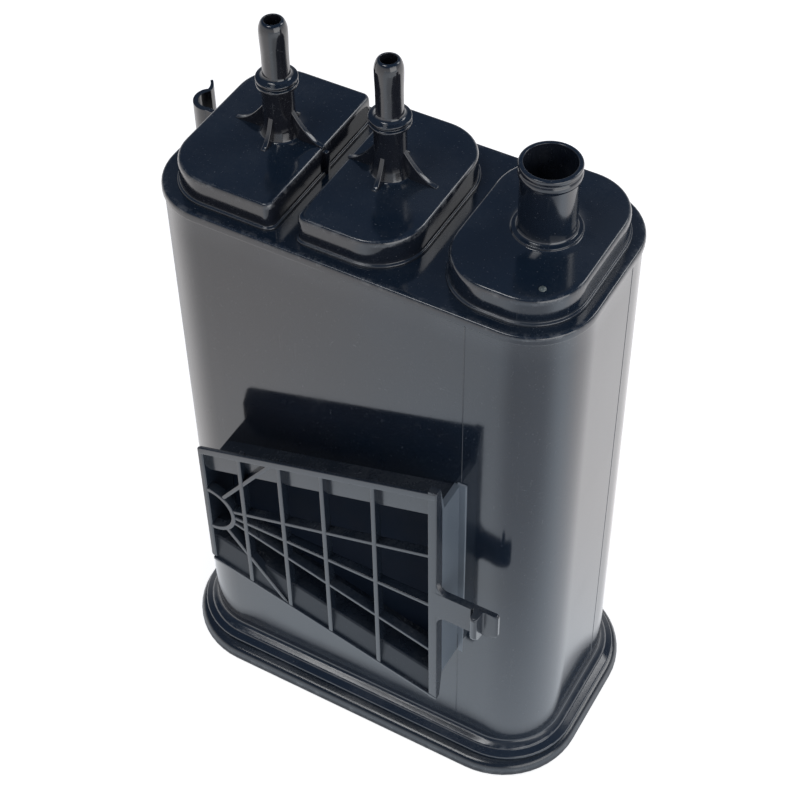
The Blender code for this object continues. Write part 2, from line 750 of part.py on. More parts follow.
def bottom_cover(coat):
    """Cover welded to the flange, with a locating wall and spring bosses inside."""
    round_out = COVER_OVER_Y - BAND_OVER_Y
    rings = [
        cover_ring(0.0, COVER_EDGE_LOW),
        cover_ring(COVER_EDGE_LOW, 0.0),
        cover_ring(COVER_EDGE_HIGH, 0.0),
    ]
    for step in (1, 2, 3):
        angle = math.radians(90 * step / 4)
        rise = (WELD_LOW - COVER_EDGE_HIGH) * math.sin(angle)
        rings.append(cover_ring(COVER_EDGE_HIGH + rise, round_out * (1 - math.cos(angle))))
    rings.append(cover_ring(WELD_LOW, round_out))
    body = solid("bottom_cover", rings)
    end = HALF_LENGTH - WALL
    outer = [chamber_ring(z, -end, end, CLEARANCE) for z in (WELD_LOW - SINK, WELD_LOW + LOCATOR_TALL)]
    inner_gap = CLEARANCE + LOCATOR_WALL
    inner = [chamber_ring(z, -end, end, inner_gap) for z in (WELD_LOW, WELD_LOW + LOCATOR_TALL + SINK)]
    locator = combine(solid("locator", outer), "DIFFERENCE", [solid("locator_hollow", inner)])
    bosses = [
        seat(f"{name}_boss", x, WELD_LOW - SINK, WELD_LOW + SPRING_SEAT) for name, x in spring_places()
    ]
    combine(body, "UNION", [locator, *bosses])
    combine(body, "DIFFERENCE", [cover_recess()])
    return finish(body, coat)


def chamber_ends():
    """Left and right wall of the main and the vent chamber."""
    end = HALF_LENGTH - WALL
    return (-end, PARTITION_X - INNER_WALL / 2), (PARTITION_X + INNER_WALL / 2, end)


def pad(name, left, right, low, high, coat):
    rings = [chamber_ring(z, left, right, CLEARANCE) for z in (low, high)]
    return finish(solid(name, rings), coat)


def filters(coat):
    (main_left, main_right), (vent_left, vent_right) = chamber_ends()
    half = INNER_WALL / 2
    high = ROOF_INNER - CLEARANCE
    low = high - FILTER_THICK
    pad("tank_filter", main_left, BAFFLE_X - half, low, high, coat)
    pad("purge_filter", BAFFLE_X + half, main_right, low, high, coat)
    pad("air_filter", vent_left, vent_right, low, high, coat)
    low = PLATE_HEIGHT + PLATE_DECK + CLEARANCE
    high = low + FILTER_THICK
    pad("main_lower_filter", main_left, main_right, low, high, coat)
    pad("vent_lower_filter", vent_left, vent_right, low, high, coat)


def carbon_beds(coat):
    """Granule beds, which fill their chambers from the lower filters to the upper ones."""
    (main_left, main_right), (vent_left, vent_right) = chamber_ends()
    low = PLATE_HEIGHT + PLATE_DECK + FILTER_THICK + 2 * CLEARANCE
    high = ROOF_INNER - FILTER_THICK - 2 * CLEARANCE
    rings = [chamber_ring(z, main_left, main_right, CLEARANCE) for z in (low, high)]
    bed = solid("main_carbon_bed", rings)
    half = INNER_WALL / 2 + CLEARANCE
    slot = box(
        "baffle_slot", BAFFLE_X - half, BAFFLE_X + half, -HALF_DEPTH_FOOT, HALF_DEPTH_FOOT,
        ROOF_INNER - BAFFLE_TALL - CLEARANCE, ROOF_TOP,
    )
    combine(bed, "DIFFERENCE", [slot])
    finish(bed, coat)
    pad("vent_carbon_bed", vent_left, vent_right, low, high, coat)


def pressure_plate(name, left, right, slots, springs, coat):
    """Slotted plate with a skirt and a boss for each spring, pushed up against the lower filter."""
    deck = PLATE_HEIGHT + PLATE_DECK
    low = deck - PLATE_SKIRT
    gap = 2 * CLEARANCE
    body = solid(name, [chamber_ring(z, left, right, gap) for z in (low, deck)])
    under = solid(
        f"{name}_hollow",
        [chamber_ring(z, left, right, gap + PLATE_DECK) for z in (low - SINK, PLATE_HEIGHT)],
    )
    half_y = HALF_DEPTH_ROOF - WALL - CORNER / 2
    cuts = [under]
    reach = SPRING_RADIUS + SPRING_WIRE
    for index in range(slots):
        x = left + (right - left) * (index + 1) / (slots + 1)
        near = min(abs(x - place) for place in springs)
        inner = reach if near < reach + PLATE_SLOT else PLATE_SLOT / 2
        for side in (-1, 1):
            y0, y1 = sorted((side * inner, side * half_y))
            cuts.append(
                box(f"slot_{index}", x - PLATE_SLOT / 2, x + PLATE_SLOT / 2, y0, y1, low, deck + SINK)
            )
    combine(body, "DIFFERENCE", cuts)
    bosses = [seat("plate_boss", x, PLATE_HEIGHT - SPRING_SEAT, PLATE_HEIGHT + SINK) for x in springs]
    combine(body, "UNION", bosses)
    return finish(body, coat)


def spring(name, x, coat):
    """Coil spring between the cover and a pressure plate, as a wire along a helix."""
    low = WELD_LOW + CLEARANCE + SPRING_WIRE
    high = PLATE_HEIGHT - CLEARANCE - SPRING_WIRE
    steps = 16 * SPRING_TURNS
    rings = []
    for step in range(steps + 1):
        turn = 2 * math.pi * step / 16
        z = low + (high - low) * step / steps
        ring = []
        for corner in range(6):
            angle = 2 * math.pi * corner / 6
            radius = SPRING_RADIUS + SPRING_WIRE * math.cos(angle)
            height = z + SPRING_WIRE * math.sin(angle)
            ring.append((x + radius * math.cos(turn), radius * math.sin(turn), height))
        rings.append(ring)
    return finish(solid(name, rings), coat, 60)


def main():
    clear_scene()
    black = material("black_nylon", (0.018, 0.022, 0.027), 0.32)
    cover_black = material("cover_nylon", (0.014, 0.016, 0.019), 0.36)
    fleece = material("filter_fleece", (0.62, 0.60, 0.54), 0.95)
    granules = material("carbon_granules", (0.012, 0.012, 0.013), 0.9)
    plate_black = material("plate_nylon", (0.03, 0.03, 0.032), 0.5)
    steel = material("spring_steel", (0.55, 0.55, 0.56), 0.3, 1.0)
    housing(black)
    bottom_cover(cover_black)
    filters(fleece)
    carbon_beds(granules)
    places = [x for _, x in spring_places()]
    (main_left, main_right), (vent_left, vent_right) = chamber_ends()
    pressure_plate("main_pressure_plate", main_left, main_right, SLOTS_MAIN, places[:2], plate_black)
    pressure_plate("vent_pressure_plate", vent_left, vent_right, SLOTS_VENT, places[2:], plate_black)
    for name, x in spring_places():
        spring(name, x, steel)


main()
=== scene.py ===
"""Looks of a charcoal canister: a black nylon box with three hose ports and a ribbed bracket.

Lengths are in metres, in the frame of the solids: +Z up, the bracket towards -Y, the foot at z = 0.
"""
import math

import bmesh
import bpy
import numpy as np
from mathutils import Matrix, Vector


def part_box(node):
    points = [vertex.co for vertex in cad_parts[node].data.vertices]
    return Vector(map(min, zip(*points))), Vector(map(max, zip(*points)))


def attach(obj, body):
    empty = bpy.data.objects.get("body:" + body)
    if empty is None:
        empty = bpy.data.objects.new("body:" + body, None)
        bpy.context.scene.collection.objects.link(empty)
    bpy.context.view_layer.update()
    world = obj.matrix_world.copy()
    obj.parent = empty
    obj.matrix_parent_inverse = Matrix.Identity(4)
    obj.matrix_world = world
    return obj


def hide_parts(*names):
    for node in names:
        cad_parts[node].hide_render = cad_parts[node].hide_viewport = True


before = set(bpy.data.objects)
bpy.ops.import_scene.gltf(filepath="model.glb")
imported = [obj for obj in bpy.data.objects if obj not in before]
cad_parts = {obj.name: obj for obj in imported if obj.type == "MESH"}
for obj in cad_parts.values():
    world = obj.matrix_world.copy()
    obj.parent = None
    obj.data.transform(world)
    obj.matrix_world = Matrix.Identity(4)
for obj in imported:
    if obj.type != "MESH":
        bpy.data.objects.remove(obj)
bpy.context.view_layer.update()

# Camera at the photograph's place
CAMERA_PLACE = (0.209294, -0.361108, 0.585667)
CAMERA_TURN = math.radians(30.2457)
CAMERA_DIP = math.radians(47.5067)
CAMERA_ROLL = math.radians(1.138)
LENS = 82.387
SENSOR = 36.0

# Housing shell
HALF_LENGTH = 0.0722
HALF_DEPTH_ROOF = 0.0347
HALF_DEPTH_FOOT = 0.0362
CORNER = 0.02045
ROOF_TOP = 0.2191
WALL = 0.0022
LIP_PROUD = 0.0007
LIP_TALL = 0.0031
LIP_ROUND = 0.0014
ROOF_BEND = 0.0016
ROOF_FLAT = 0.0080
WALL_RINGS = 24
WELD_HEIGHT = 0.0065
WELD_GAP = 0.00015
FLANGE_TOP = 0.0110
LEDGE = (0.0020, 0.0030, 0.0101)
BAND = (0.0049, 0.0056, 0.0082)
COVER_OVER = (0.0069, 0.0093)
COVER_EDGE = (0.0010, 0.0036)
COVER_RECESS = 0.0032
COVER_RIM = 0.0060
COVER_RIB = 0.0018
COVER_CELLS = (8, 4)
FOOT_PAD = (0.0360, 0.0200)

# Domes: left edge, right edge, half depth, left and right corner radius
DOME_TOP = 0.2285
DOME_FILLET = 0.0014
DOME_STEP = 0.0008
DOME_SEAM = 0.0014
DOME_FLATS = (0.0025, 0.0045)
TANK_DOME = (-0.0665, -0.0267, 0.0303, 0.0153, 0.0028)
PURGE_DOME = (-0.0182, 0.0172, 0.0303, 0.0028, 0.0157)
AIR_DOME = (0.0260, 0.0684, 0.0303, 0.0174, 0.0174)
PIP_PLACE = (0.0588, -0.0226)
PIP_RADIUS = 0.0012

# Parting lines of the mould: place on the front and on the right end, half width, sunk foot, gaps at both ends
PARTING_X = 0.0408
PARTING_Y = 0.0115
PARTING_HALF = 0.00022
PARTING_SINK = 0.0006
PARTING_ENDS = (0.0020, 0.0005)

# Ports
PORT_Y = 0.0011
TANK_PORT_X = -0.0422
PURGE_PORT_X = -0.0034
AIR_PORT_X = 0.0485
NIPPLE_TALL = 0.0415
NIPPLE_RADIUS = 0.0042
NIPPLE_BEAD = 0.0044
NIPPLE_BORE = 0.0026
BEAD_START = 0.0110
BEAD_FULL = 0.0060
TIP_ROUND = 0.0026
COLLAR_TALL = 0.0200
COLLAR_RADIUS = 0.0065
COLLAR_THICK = 0.0028
NECK_RADIUS = 0.0050
NECK_FOOT = 0.0010
AIR_TALL = 0.0247
AIR_RADIUS = 0.00875
AIR_BEAD = 0.00936
AIR_BORE = 0.00787
AIR_FOOT = 0.0106
GUSSET_THICK = 0.0016
GUSSET_TALL = 0.0110
GUSSET_LONG = 0.0160
GUSSET_SHORT = 0.0105
GUSSET_SAG = 1.8
DOME_RIB = (-0.0006, 0.0014)

# Lattice bracket
LATTICE_LEFT = -0.0490
LATTICE_RIGHT = 0.0406
FRONT = -0.0513
LATTICE_TOP_RIGHT = 0.1575
LATTICE_LOW_RIGHT = 0.0460
TOP_SLOPE = math.tan(math.radians(17.1))
LOW_SLOPE = -math.tan(math.radians(15.1))
FRAME_DEPTH = 0.0044
RAIL_TOP = 0.0013
RAIL_BACK = 0.0047
LOW_RAIL_DEPTH = 0.0026
RAIL = 0.0028
LOW_RAIL = 0.0014
SIDE_BAR = 0.0030
LEFT_BAR = 0.0015
LEFT_PROUD = 0.0007
RIB = 0.0017
RIB_DEPTH = 0.0038
UPRIGHTS = (-0.0333, -0.0176, -0.0014, 0.0177)
HUB_X = -0.0479
HUB_HEIGHT = 0.0993
HUB_RADIUS = 0.0106
FAN_ANGLES = (53.6, 16.9, 0.0, -16.4, -51.5)
FAN_RIB = 0.0015
WEB_SETBACK = 0.0030
WEB_THICK = 0.0015
WEB_TALL = 0.0136
PLATE = 0.0018
LOW_PLATE_RISE = 0.0118
PANEL = 0.0022
NOTCH = 0.0012
FOOT_STRIP = 0.0024
FOOT_STRIP_PROUD = 0.0012
FOOT_STRIP_OVER = 0.0010
IN_WALL = -0.0340

# Snap hook and hose clip
HOOK_LOW = 0.0954
HOOK_TALL = 0.0123
HOOK_REACH = 0.0220
HOOK_THICK = 0.0027
HOOK_ROOT = 0.0046
CATCH_AT = 0.0134
CATCH_WIDE = 0.0030
CATCH_PROUD = 0.0035
HOOK_ROUND = 0.0026
GROOVE_WIDE = 0.0008
GROOVE_DEEP = 0.0009
NOSE_ROUND = 0.0006
CLIP_OFF_WALL = 0.0052
CLIP_Y = 0.0141
CLIP_RADIUS = 0.0050
CLIP_THICK = 0.0018
CLIP_TIP = 0.0009
CLIP_TALL = 0.0180

# Springs
SPRING_RADIUS = 0.0110
SPRING_WIRE = 0.0009
SPRING_TURNS = 4

# Small measures: eased edges, hidden steps between faces that would lie in one plane, edges of wear and painted
# highlight, grimy edges
EASE = 0.0003
BAR_EASE = 0.00025
HOOK_EASE = 0.0002
RIB_STEP = 0.0001
UPRIGHT_STEP = 0.00015
SEAM = 0.00006
MARK_REACH = 0.0004
SHARP = math.radians(50)

# Dirt: grey of the dust, and how much of it settles in the bores of the nipples and of the air port
DUST = (0.17, 0.18, 0.19)
PLATE_DUST = (0.10, 0.10, 0.10)
# Light grey of scratches, nicks and worn edges; on the edges it is partly a painted highlight
WEAR_AND_HIGHLIGHT_TONE = (0.30, 0.31, 0.32)
NIPPLE_DUST = 2.0
AIR_DUST = 9.0

# Nylon finishes: base colour, or its warm and its cool tone, the cool one a painted bluish reflection, dust
# colour, the values named here, and gloss. Two are a lighter and a darker copy of the bracket's nylon, painted
# light and painted shade
HOUSING_REFLECTION_TONES = ((0.0120, 0.0125, 0.0170), (0.0065, 0.0155, 0.0310))
GRIME_VALUES = ("Top Dust", "All Dust", "Scratches", "Nicks", "Smooth", "Rough")
NYLONS = {
    "housing_black": (HOUSING_REFLECTION_TONES, DUST, 0.06, 0.03, 0.22, 0.20, 0.07, 0.50, 0.50),
    "bracket_black": ((0.0120, 0.0190, 0.0310), DUST, 0.16, 0.05, 0.12, 0.12, 0.18, 0.55, 0.50),
    # Lighter copy of the bracket's nylon for the right panel: painted light for what that face reflects
    "panel_black": ((0.1300, 0.1600, 0.1950), DUST, 0.10, 0.05, 0.12, 0.12, 0.30, 0.55, 0.50),
    # Darker, duller copy of the bracket's nylon for the low web: painted shade for the web under the low plate
    "web_black": ((0.0080, 0.0140, 0.0230), DUST, 0.05, 0.04, 0.12, 0.15, 0.38, 0.60, 0.25),
    "cover_black": ((0.0080, 0.0150, 0.0260), DUST, 0.05, 0.01, 0.12, 0.15, 0.14, 0.50, 0.50),
    "plate_black": ((0.028, 0.028, 0.030), PLATE_DUST, 0.20, 0.05, 0.20, 0.10, 0.42, 0.60, 0.50),
    "pip_grey": ((0.0900, 0.1150, 0.1100), DUST, 0.30, 0.10, 0.12, 0.12, 0.25, 0.55, 0.50),
}

# Lamps: place, size, power
LAMPS = {
    "key": ((-0.30, -0.45, 1.40), (0.45, 0.45), 3.0),
    "rim": ((0.8, 1.0, 1.2), (0.6, 0.6), 4.0),
    "right": ((1.3, -0.6, 0.60), (1.4, 1.0), 8.0),
}
LAMP_TARGET = (0.0, 0.0, 0.1)

# Floor: half size, drop below the foot, and two round pools of painted shade where the mirrored floor is dimmer:
# centre, inner and outer radius, and brightness in the middle
FLOOR_HALF = 6.0
FLOOR_DROP = 0.0002
FLOOR_POOLS = (
    ((0.155, -0.205, 0.0), 0.08, 0.21, 0.40),
    ((-0.15, 0.20, 0.0), 0.12, 0.27, 0.35),
)
FLOOR_SEEN = 0.78
WHITE = (1.0, 1.0, 1.0)


def mesh_object(name, points, faces, marks=None):
    """Object from an array of points and a list of faces, with one value a point for each named mark."""
    mesh = bpy.data.meshes.new(name)
    mesh.from_pydata(np.asarray(points).reshape(-1, 3).tolist(), [], faces)
    for mark, values in (marks or {}).items():
        layer = mesh.attributes.new(mark, "FLOAT", "POINT")
        layer.data.foreach_set("value", np.asarray(values, np.float32).ravel())
    mesh.validate()
    mesh.update()
    mesh.shade_smooth()
    obj = bpy.data.objects.new(name, mesh)
    bpy.context.scene.collection.objects.link(obj)
    return obj


def grid_faces(rows, columns, wrap_rows=False):
    """Quads over a grid whose columns wrap round, and whose rows wrap too if asked."""
    start = np.arange(rows if wrap_rows else rows - 1)[:, None] * columns
    column = np.arange(columns)[None, :]
    after = (column + 1) % columns
    above = (start + columns) % (rows * columns)
    quads = np.stack([start + column, start + after, above + after, above + column], axis=-1)
    return quads.reshape(-1, 4).tolist()


def lofted(name, rings, caps=(True, True), wrap=False, marks=None):
    """Surface through rings of points: row i of the grid is ring i. End rings are closed by a flat face."""
    rings = np.asarray(rings, float)
    rows, columns = rings.shape[:2]
    faces = grid_faces(rows, columns, wrap)
    if caps[0]:
        faces.append(list(range(columns))[::-1])
    if caps[1]:
        faces.append([(rows - 1) * columns + index for index in range(columns)])
    spread = {key: np.repeat(np.asarray(values, float), columns) for key, values in (marks or {}).items()}
    return mesh_object(name, rings, faces, spread)


def eased(points, radii, steps=5):
    """Path with each inner corner replaced by a curve: two blends towards it from points a radius away."""
    points = np.asarray(points, float)
    made = [points[0]]
    for index in range(1, len(points) - 1):
        here = points[index]
        radius = radii[index] if hasattr(radii, "__len__") else radii
        if radius <= 0:
            made.append(here)
            continue
        ends = []
        for other in (points[index - 1], points[index + 1]):
            way = other - here
            size = np.linalg.norm(way)
            ends.append(here + way * min(radius / size, 0.48))
        share = np.linspace(0, 1, steps + 1)[:, None]
        curve = (1 - share) ** 2 * ends[0] + 2 * share * (1 - share) * here + share**2 * ends[1]
        made.extend(curve)
    made.append(points[-1])
    return np.array(made)


def outline(x0, x1, y0, y1, left, right, corner=14, edge=18):
    """Closed outline of a box with round corners: quarter arcs joined by evenly shared straight runs."""
    turn = np.linspace(0, math.pi / 2, corner)
    places = ((x1 - right, y0 + right, right), (x1 - right, y1 - right, right),
              (x0 + left, y1 - left, left), (x0 + left, y0 + left, left))
    arcs = []
    for index, (x, y, radius) in enumerate(places):
        angle = turn + (index - 1) * math.pi / 2
        arcs.append(np.stack([x + radius * np.cos(angle), y + radius * np.sin(angle)], axis=1))
    share = np.linspace(0, 1, edge + 2)[1:-1, None]
    runs = [arcs[i][-1] * (1 - share) + arcs[(i + 1) % 4][0] * share for i in range(4)]
    return np.concatenate([part for i in range(4) for part in (arcs[i], runs[i])])


def raised(flat, z):
    """Flat points at this height."""
    return np.column_stack([flat, np.full(len(flat), z)])


def shell_outline(over_x, over_y, z):
    """Outline of the housing at a height, this far outside its tapering wall."""
    share = min(max((z - FLANGE_TOP) / (ROOF_TOP - FLANGE_TOP), 0.0), 1.0)
    y = HALF_DEPTH_FOOT + (HALF_DEPTH_ROOF - HALF_DEPTH_FOOT) * share + over_y
    x = HALF_LENGTH + over_x
    radius = max(CORNER + over_y, EASE)
    return raised(outline(-x, x, -y, y, radius, radius), z)


def outward(obj):
    """Turns the faces of a closed shape so that they point out."""
    shape = bmesh.new()
    shape.from_mesh(obj.data)
    bmesh.ops.recalc_face_normals(shape, faces=shape.faces)
    shape.to_mesh(obj.data)
    shape.free()


def ease_edges(obj, width, steps=2, sharper_than=35):
    """Rounds the edges that turn by more than this angle."""
    bevel = obj.modifiers.new("ease", "BEVEL")
    bevel.width = width
    bevel.segments = steps
    bevel.limit_method = "ANGLE"
    bevel.angle_limit = math.radians(sharper_than)


def prism(name, profile, axis, low, high, ease=BAR_EASE, steps=2):
    """Straight bar: a closed profile in two axes carried along the third, with eased edges."""
    profile = np.asarray(profile, float)
    others = [index for index in range(3) if index != axis]
    rings = np.empty((2, len(profile), 3))
    rings[:, :, others[0]] = profile[:, 0]
    rings[:, :, others[1]] = profile[:, 1]
    rings[0, :, axis] = low
    rings[1, :, axis] = high
    obj = lofted(name, rings)
    outward(obj)
    ease_edges(obj, ease, steps)
    obj.data.set_sharp_from_angle(angle=SHARP)
    return obj


def joined(name, parts):
    """One object from several, with their modifiers applied."""
    graph = bpy.context.evaluated_depsgraph_get()
    bpy.context.view_layer.update()
    points, faces, start = [], [], 0
    for part in parts:
        baked = part.evaluated_get(graph).to_mesh()
        place = np.empty(len(baked.vertices) * 3)
        baked.vertices.foreach_get("co", place)
        points.append(place.reshape(-1, 3))
        faces += [[start + index for index in polygon.vertices] for polygon in baked.polygons]
        start += len(baked.vertices)
    for part in parts:
        bpy.data.objects.remove(part, do_unlink=True)
    obj = mesh_object(name, np.concatenate(points), faces)
    obj.data.set_sharp_from_angle(angle=SHARP)
    even = obj.modifiers.new("even", "WEIGHTED_NORMAL")
    even.keep_sharp = True
    return obj


def dress(obj, coat, slot_name, *nodes):
    """Gives a piece its material and its body, and hides the solids that it stands for; the slot name is not
    used.
    """
    obj.data.materials.clear()
    obj.data.materials.append(coat)
    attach(obj, "root")
    if nodes:
        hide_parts(*nodes)
    return obj


def shell():
    """Housing wall with its stepped welding flange and roof lip."""
    top = [LIP_PROUD, LIP_PROUD, ROOF_TOP]
    bend_end = [-ROOF_BEND, -ROOF_BEND, ROOF_TOP]
    flat = [-ROOF_FLAT, -ROOF_FLAT, ROOF_TOP]
    lip_low = ROOF_TOP - LIP_TALL
    path = [
        [BAND[0] - EASE, BAND[1] - EASE, WELD_HEIGHT + WELD_GAP],
        [BAND[0], BAND[1], WELD_HEIGHT + WELD_GAP + EASE],
        [*BAND],
        [LEDGE[0] + EASE, LEDGE[1] + EASE, LEDGE[2] - 2 * EASE],
        [*LEDGE],
        [LIP_PROUD, LIP_PROUD, FLANGE_TOP],
        [0.0, 0.0, FLANGE_TOP + LIP_PROUD],
        [0.0, 0.0, lip_low],
        [LIP_PROUD, LIP_PROUD, lip_low + EASE / 2],
        top,
        bend_end,
        flat,
    ]
    radii = [0, EASE, 0.0007, 0.0003, 0.0005, 0.0009, 0.0008, 0.0001, 0.0004, LIP_ROUND, 0, 0]
    curve = eased(path, radii, 6)
    wall = next(i for i in range(len(curve) - 1) if curve[i + 1][2] - curve[i][2] > ROOF_TOP / 2)
    share = np.linspace(0, 1, WALL_RINGS)[1:-1, None]
    run = curve[wall] * (1 - share) + curve[wall + 1] * share
    curve = np.concatenate([curve[: wall + 1], run, curve[wall + 1:]])
    rings = [shell_outline(*point) for point in curve]
    # Edges marked here get light wear that is partly a painted highlight
    wear_and_highlight = [float(abs(z - LEDGE[2]) < EASE or (z > ROOF_TOP - LIP_ROUND and x > -MARK_REACH))
            for x, _, z in curve]
    grimy = [float(abs(z - lip_low) < MARK_REACH or abs(z - FLANGE_TOP) < EASE) for _, _, z in curve]
    return lofted("shell", rings, (True, True), marks={"wear_and_highlight": wear_and_highlight, "grimy": grimy})


def dome_outline(dome, amount, z):
    """Outline of a dome, this far inside its edge."""
    x0, x1, half, left, right = dome
    corners = (max(left - amount, EASE), max(right - amount, EASE))
    return raised(outline(x0 + amount, x1 - amount, -half + amount, half - amount, *corners), z)


def dome_with_port(name, dome, port_x, profile, bore, bore_dust):
    """Dome and port in one skin: outline rings up the dome, then circles up the port, over and down its bore.

    Each circle point lies in the direction of its outline point from the port's axis. The ring at DOME_SEAM keeps
    the grime in the seam at the dome's foot.
    """
    step_top = ROOF_TOP + DOME_STEP
    path = [
        [-DOME_STEP, ROOF_TOP - EASE],
        [-DOME_STEP, step_top],
        [0.0, step_top + EASE / 2],
        [0.0, step_top + DOME_SEAM],
        [0.0, DOME_TOP],
        [DOME_FLATS[0], DOME_TOP],
        [DOME_FLATS[1], DOME_TOP],
    ]
    curve = eased(path, [0, 0.0004, 0.0003, 0, DOME_FILLET * 1.5, 0, 0], 6)
    rings = [dome_outline(dome, inset, z) for inset, z in curve]
    axis = np.array([port_x, PORT_Y])
    away = rings[0][:, :2] - axis
    turn = np.arctan2(away[:, 1], away[:, 0])
    way = np.column_stack([np.cos(turn), np.sin(turn)])
    last = rings[-1]
    foot = raised(axis + way * profile[0][0], DOME_TOP)
    for share in (0.35, 0.7):
        rings.append(last * (1 - share) + foot * share)
    for radius, z in profile:
        rings.append(raised(axis + way * radius, z))
    for radius, z in bore:
        rings.append(raised(axis + way * radius, z))
    heights = [ring[0, 2] for ring in rings]
    count = len(curve)
    # Dome edges marked here get light wear that is partly a painted highlight
    wear_and_highlight = [float(i < count - 3 and z > DOME_TOP - DOME_FILLET * 1.2) for i, z in enumerate(heights)]
    grimy = [float(z < step_top + 2 * EASE and i < count) for i, z in enumerate(heights)]
    inside = len(rings) - len(bore) - 1
    grimy[inside:] = [bore_dust] * (len(rings) - inside)
    return lofted(name, rings, (True, True), marks={"wear_and_highlight": wear_and_highlight, "grimy": grimy})


def nipple_profile():
    """Half section of a fuel nipple: foot ring, neck, double collar, pipe and bulged tip."""
    collar = DOME_TOP + COLLAR_TALL
    tip = DOME_TOP + NIPPLE_TALL
    half = COLLAR_THICK / 2
    groove = COLLAR_RADIUS - COLLAR_THICK / 4
    path = [
        (NECK_RADIUS + 2.2 * NECK_FOOT, DOME_TOP),
        (NECK_RADIUS + 1.1 * NECK_FOOT, DOME_TOP + NECK_FOOT / 2),
        (NECK_RADIUS, DOME_TOP + 4 * NECK_FOOT),
        (NECK_RADIUS, collar - half - NECK_FOOT / 3),
        (COLLAR_RADIUS, collar - half),
        (COLLAR_RADIUS, collar - half / 3),
        (groove, collar - half / 6),
        (groove, collar + half / 6),
        (COLLAR_RADIUS, collar + half / 3),
        (COLLAR_RADIUS, collar + half),
        (NECK_RADIUS, collar + half + NECK_FOOT / 4),
        (NIPPLE_RADIUS, collar + half + NECK_FOOT),
        (NIPPLE_RADIUS, tip - BEAD_START),
        (NIPPLE_BEAD, tip - BEAD_FULL),
        (NIPPLE_BEAD, tip - TIP_ROUND),
        (NIPPLE_BEAD - 0.3 * TIP_ROUND, tip - 0.15 * TIP_ROUND),
        (NIPPLE_BORE, tip),
        (NIPPLE_BORE, DOME_TOP),
    ]
    radii = [0, 0.0004, 0.0010, 0.0004, 0.0003, 0.0003, 0.0002, 0.0002, 0.0003, 0.0003, 0.0004,
             0.0006, 0.002, 0.002, 0.0011, 0.0012, 0.0004, 0]
    curve = eased(path, radii, 6)
    return curve, [(NIPPLE_BORE, DOME_TOP - WALL)]


def air_profile():
    """Half section of the air port: foot ring, tube and a double bead round the mouth."""
    top = DOME_TOP + AIR_TALL
    proud = AIR_BEAD - AIR_RADIUS
    ring = AIR_FOOT - AIR_RADIUS
    path = [
        (AIR_FOOT + ring / 5, DOME_TOP),
        (AIR_FOOT, DOME_TOP + ring / 8),
        (AIR_FOOT, DOME_TOP + ring / 2),
        (AIR_RADIUS + ring / 4, DOME_TOP + 0.55 * ring),
        (AIR_RADIUS, DOME_TOP + ring),
        (AIR_RADIUS, top - 8 * proud),
        (AIR_BEAD, top - 7 * proud),
        (AIR_BEAD, top - 5 * proud),
        (AIR_RADIUS + proud / 5, top - 4 * proud),
        (AIR_RADIUS + proud / 5, top - 3.2 * proud),
        (AIR_BEAD, top - 2.4 * proud),
        (AIR_BEAD, top - proud / 2),
        (AIR_RADIUS + proud / 4, top),
        (AIR_BORE, top),
        (AIR_BORE, DOME_TOP),
    ]
    radii = [0, 0.0002, 0.0004, 0.0004, 0.0006, 0.0006, 0.0004, 0.0005, 0.0003, 0.0003, 0.0005, 0.0006,
             0.0003, 0.0003, 0]
    return eased(path, radii, 5), [(AIR_BORE, ROOF_TOP + EASE)]


def gusset(x, side_x, side_y, reach):
    """Fin from a nipple's neck to the dome: height falls from neck to foot as a power of the way left."""
    share = np.linspace(0, 1, 14)
    out = reach + (NECK_RADIUS * 0.8 - reach) * share
    up = DOME_TOP + EASE + GUSSET_TALL * share**GUSSET_SAG
    foot = DOME_TOP - EASE
    profile = np.array([(0.0, foot), (reach, foot), *zip(out, up), (0.0, DOME_TOP + GUSSET_TALL)])
    half = GUSSET_THICK / 2
    rings = []
    for across in (-half, half):
        px = x + side_x * profile[:, 0] - side_y * across
        py = PORT_Y + side_y * profile[:, 0] + side_x * across
        rings.append(np.column_stack([px, py, profile[:, 1]]))
    obj = lofted("fin", rings)
    outward(obj)
    ease_edges(obj, EASE, sharper_than=30)
    return obj


def gussets():
    """Four fins round each fuel nipple, and the one that runs on down the tank dome's wall."""
    tank_edge = TANK_DOME[1] - TANK_PORT_X
    purge_edge = PURGE_PORT_X - PURGE_DOME[0]
    parts = []
    for x, right, left in ((TANK_PORT_X, tank_edge, GUSSET_LONG), (PURGE_PORT_X, GUSSET_LONG, purge_edge)):
        parts += [gusset(x, 1, 0, right), gusset(x, -1, 0, left)]
        parts += [gusset(x, 0, 1, GUSSET_SHORT), gusset(x, 0, -1, GUSSET_SHORT)]
    half = GUSSET_THICK / 2
    near, far = (TANK_DOME[1] + out for out in DOME_RIB)
    rib = rectangle(near, far, PORT_Y - half, PORT_Y + half)
    parts.append(prism("dome_wall_rib", rib, 2, ROOF_TOP - EASE, DOME_TOP - DOME_FILLET))
    return joined("port_fins", parts)


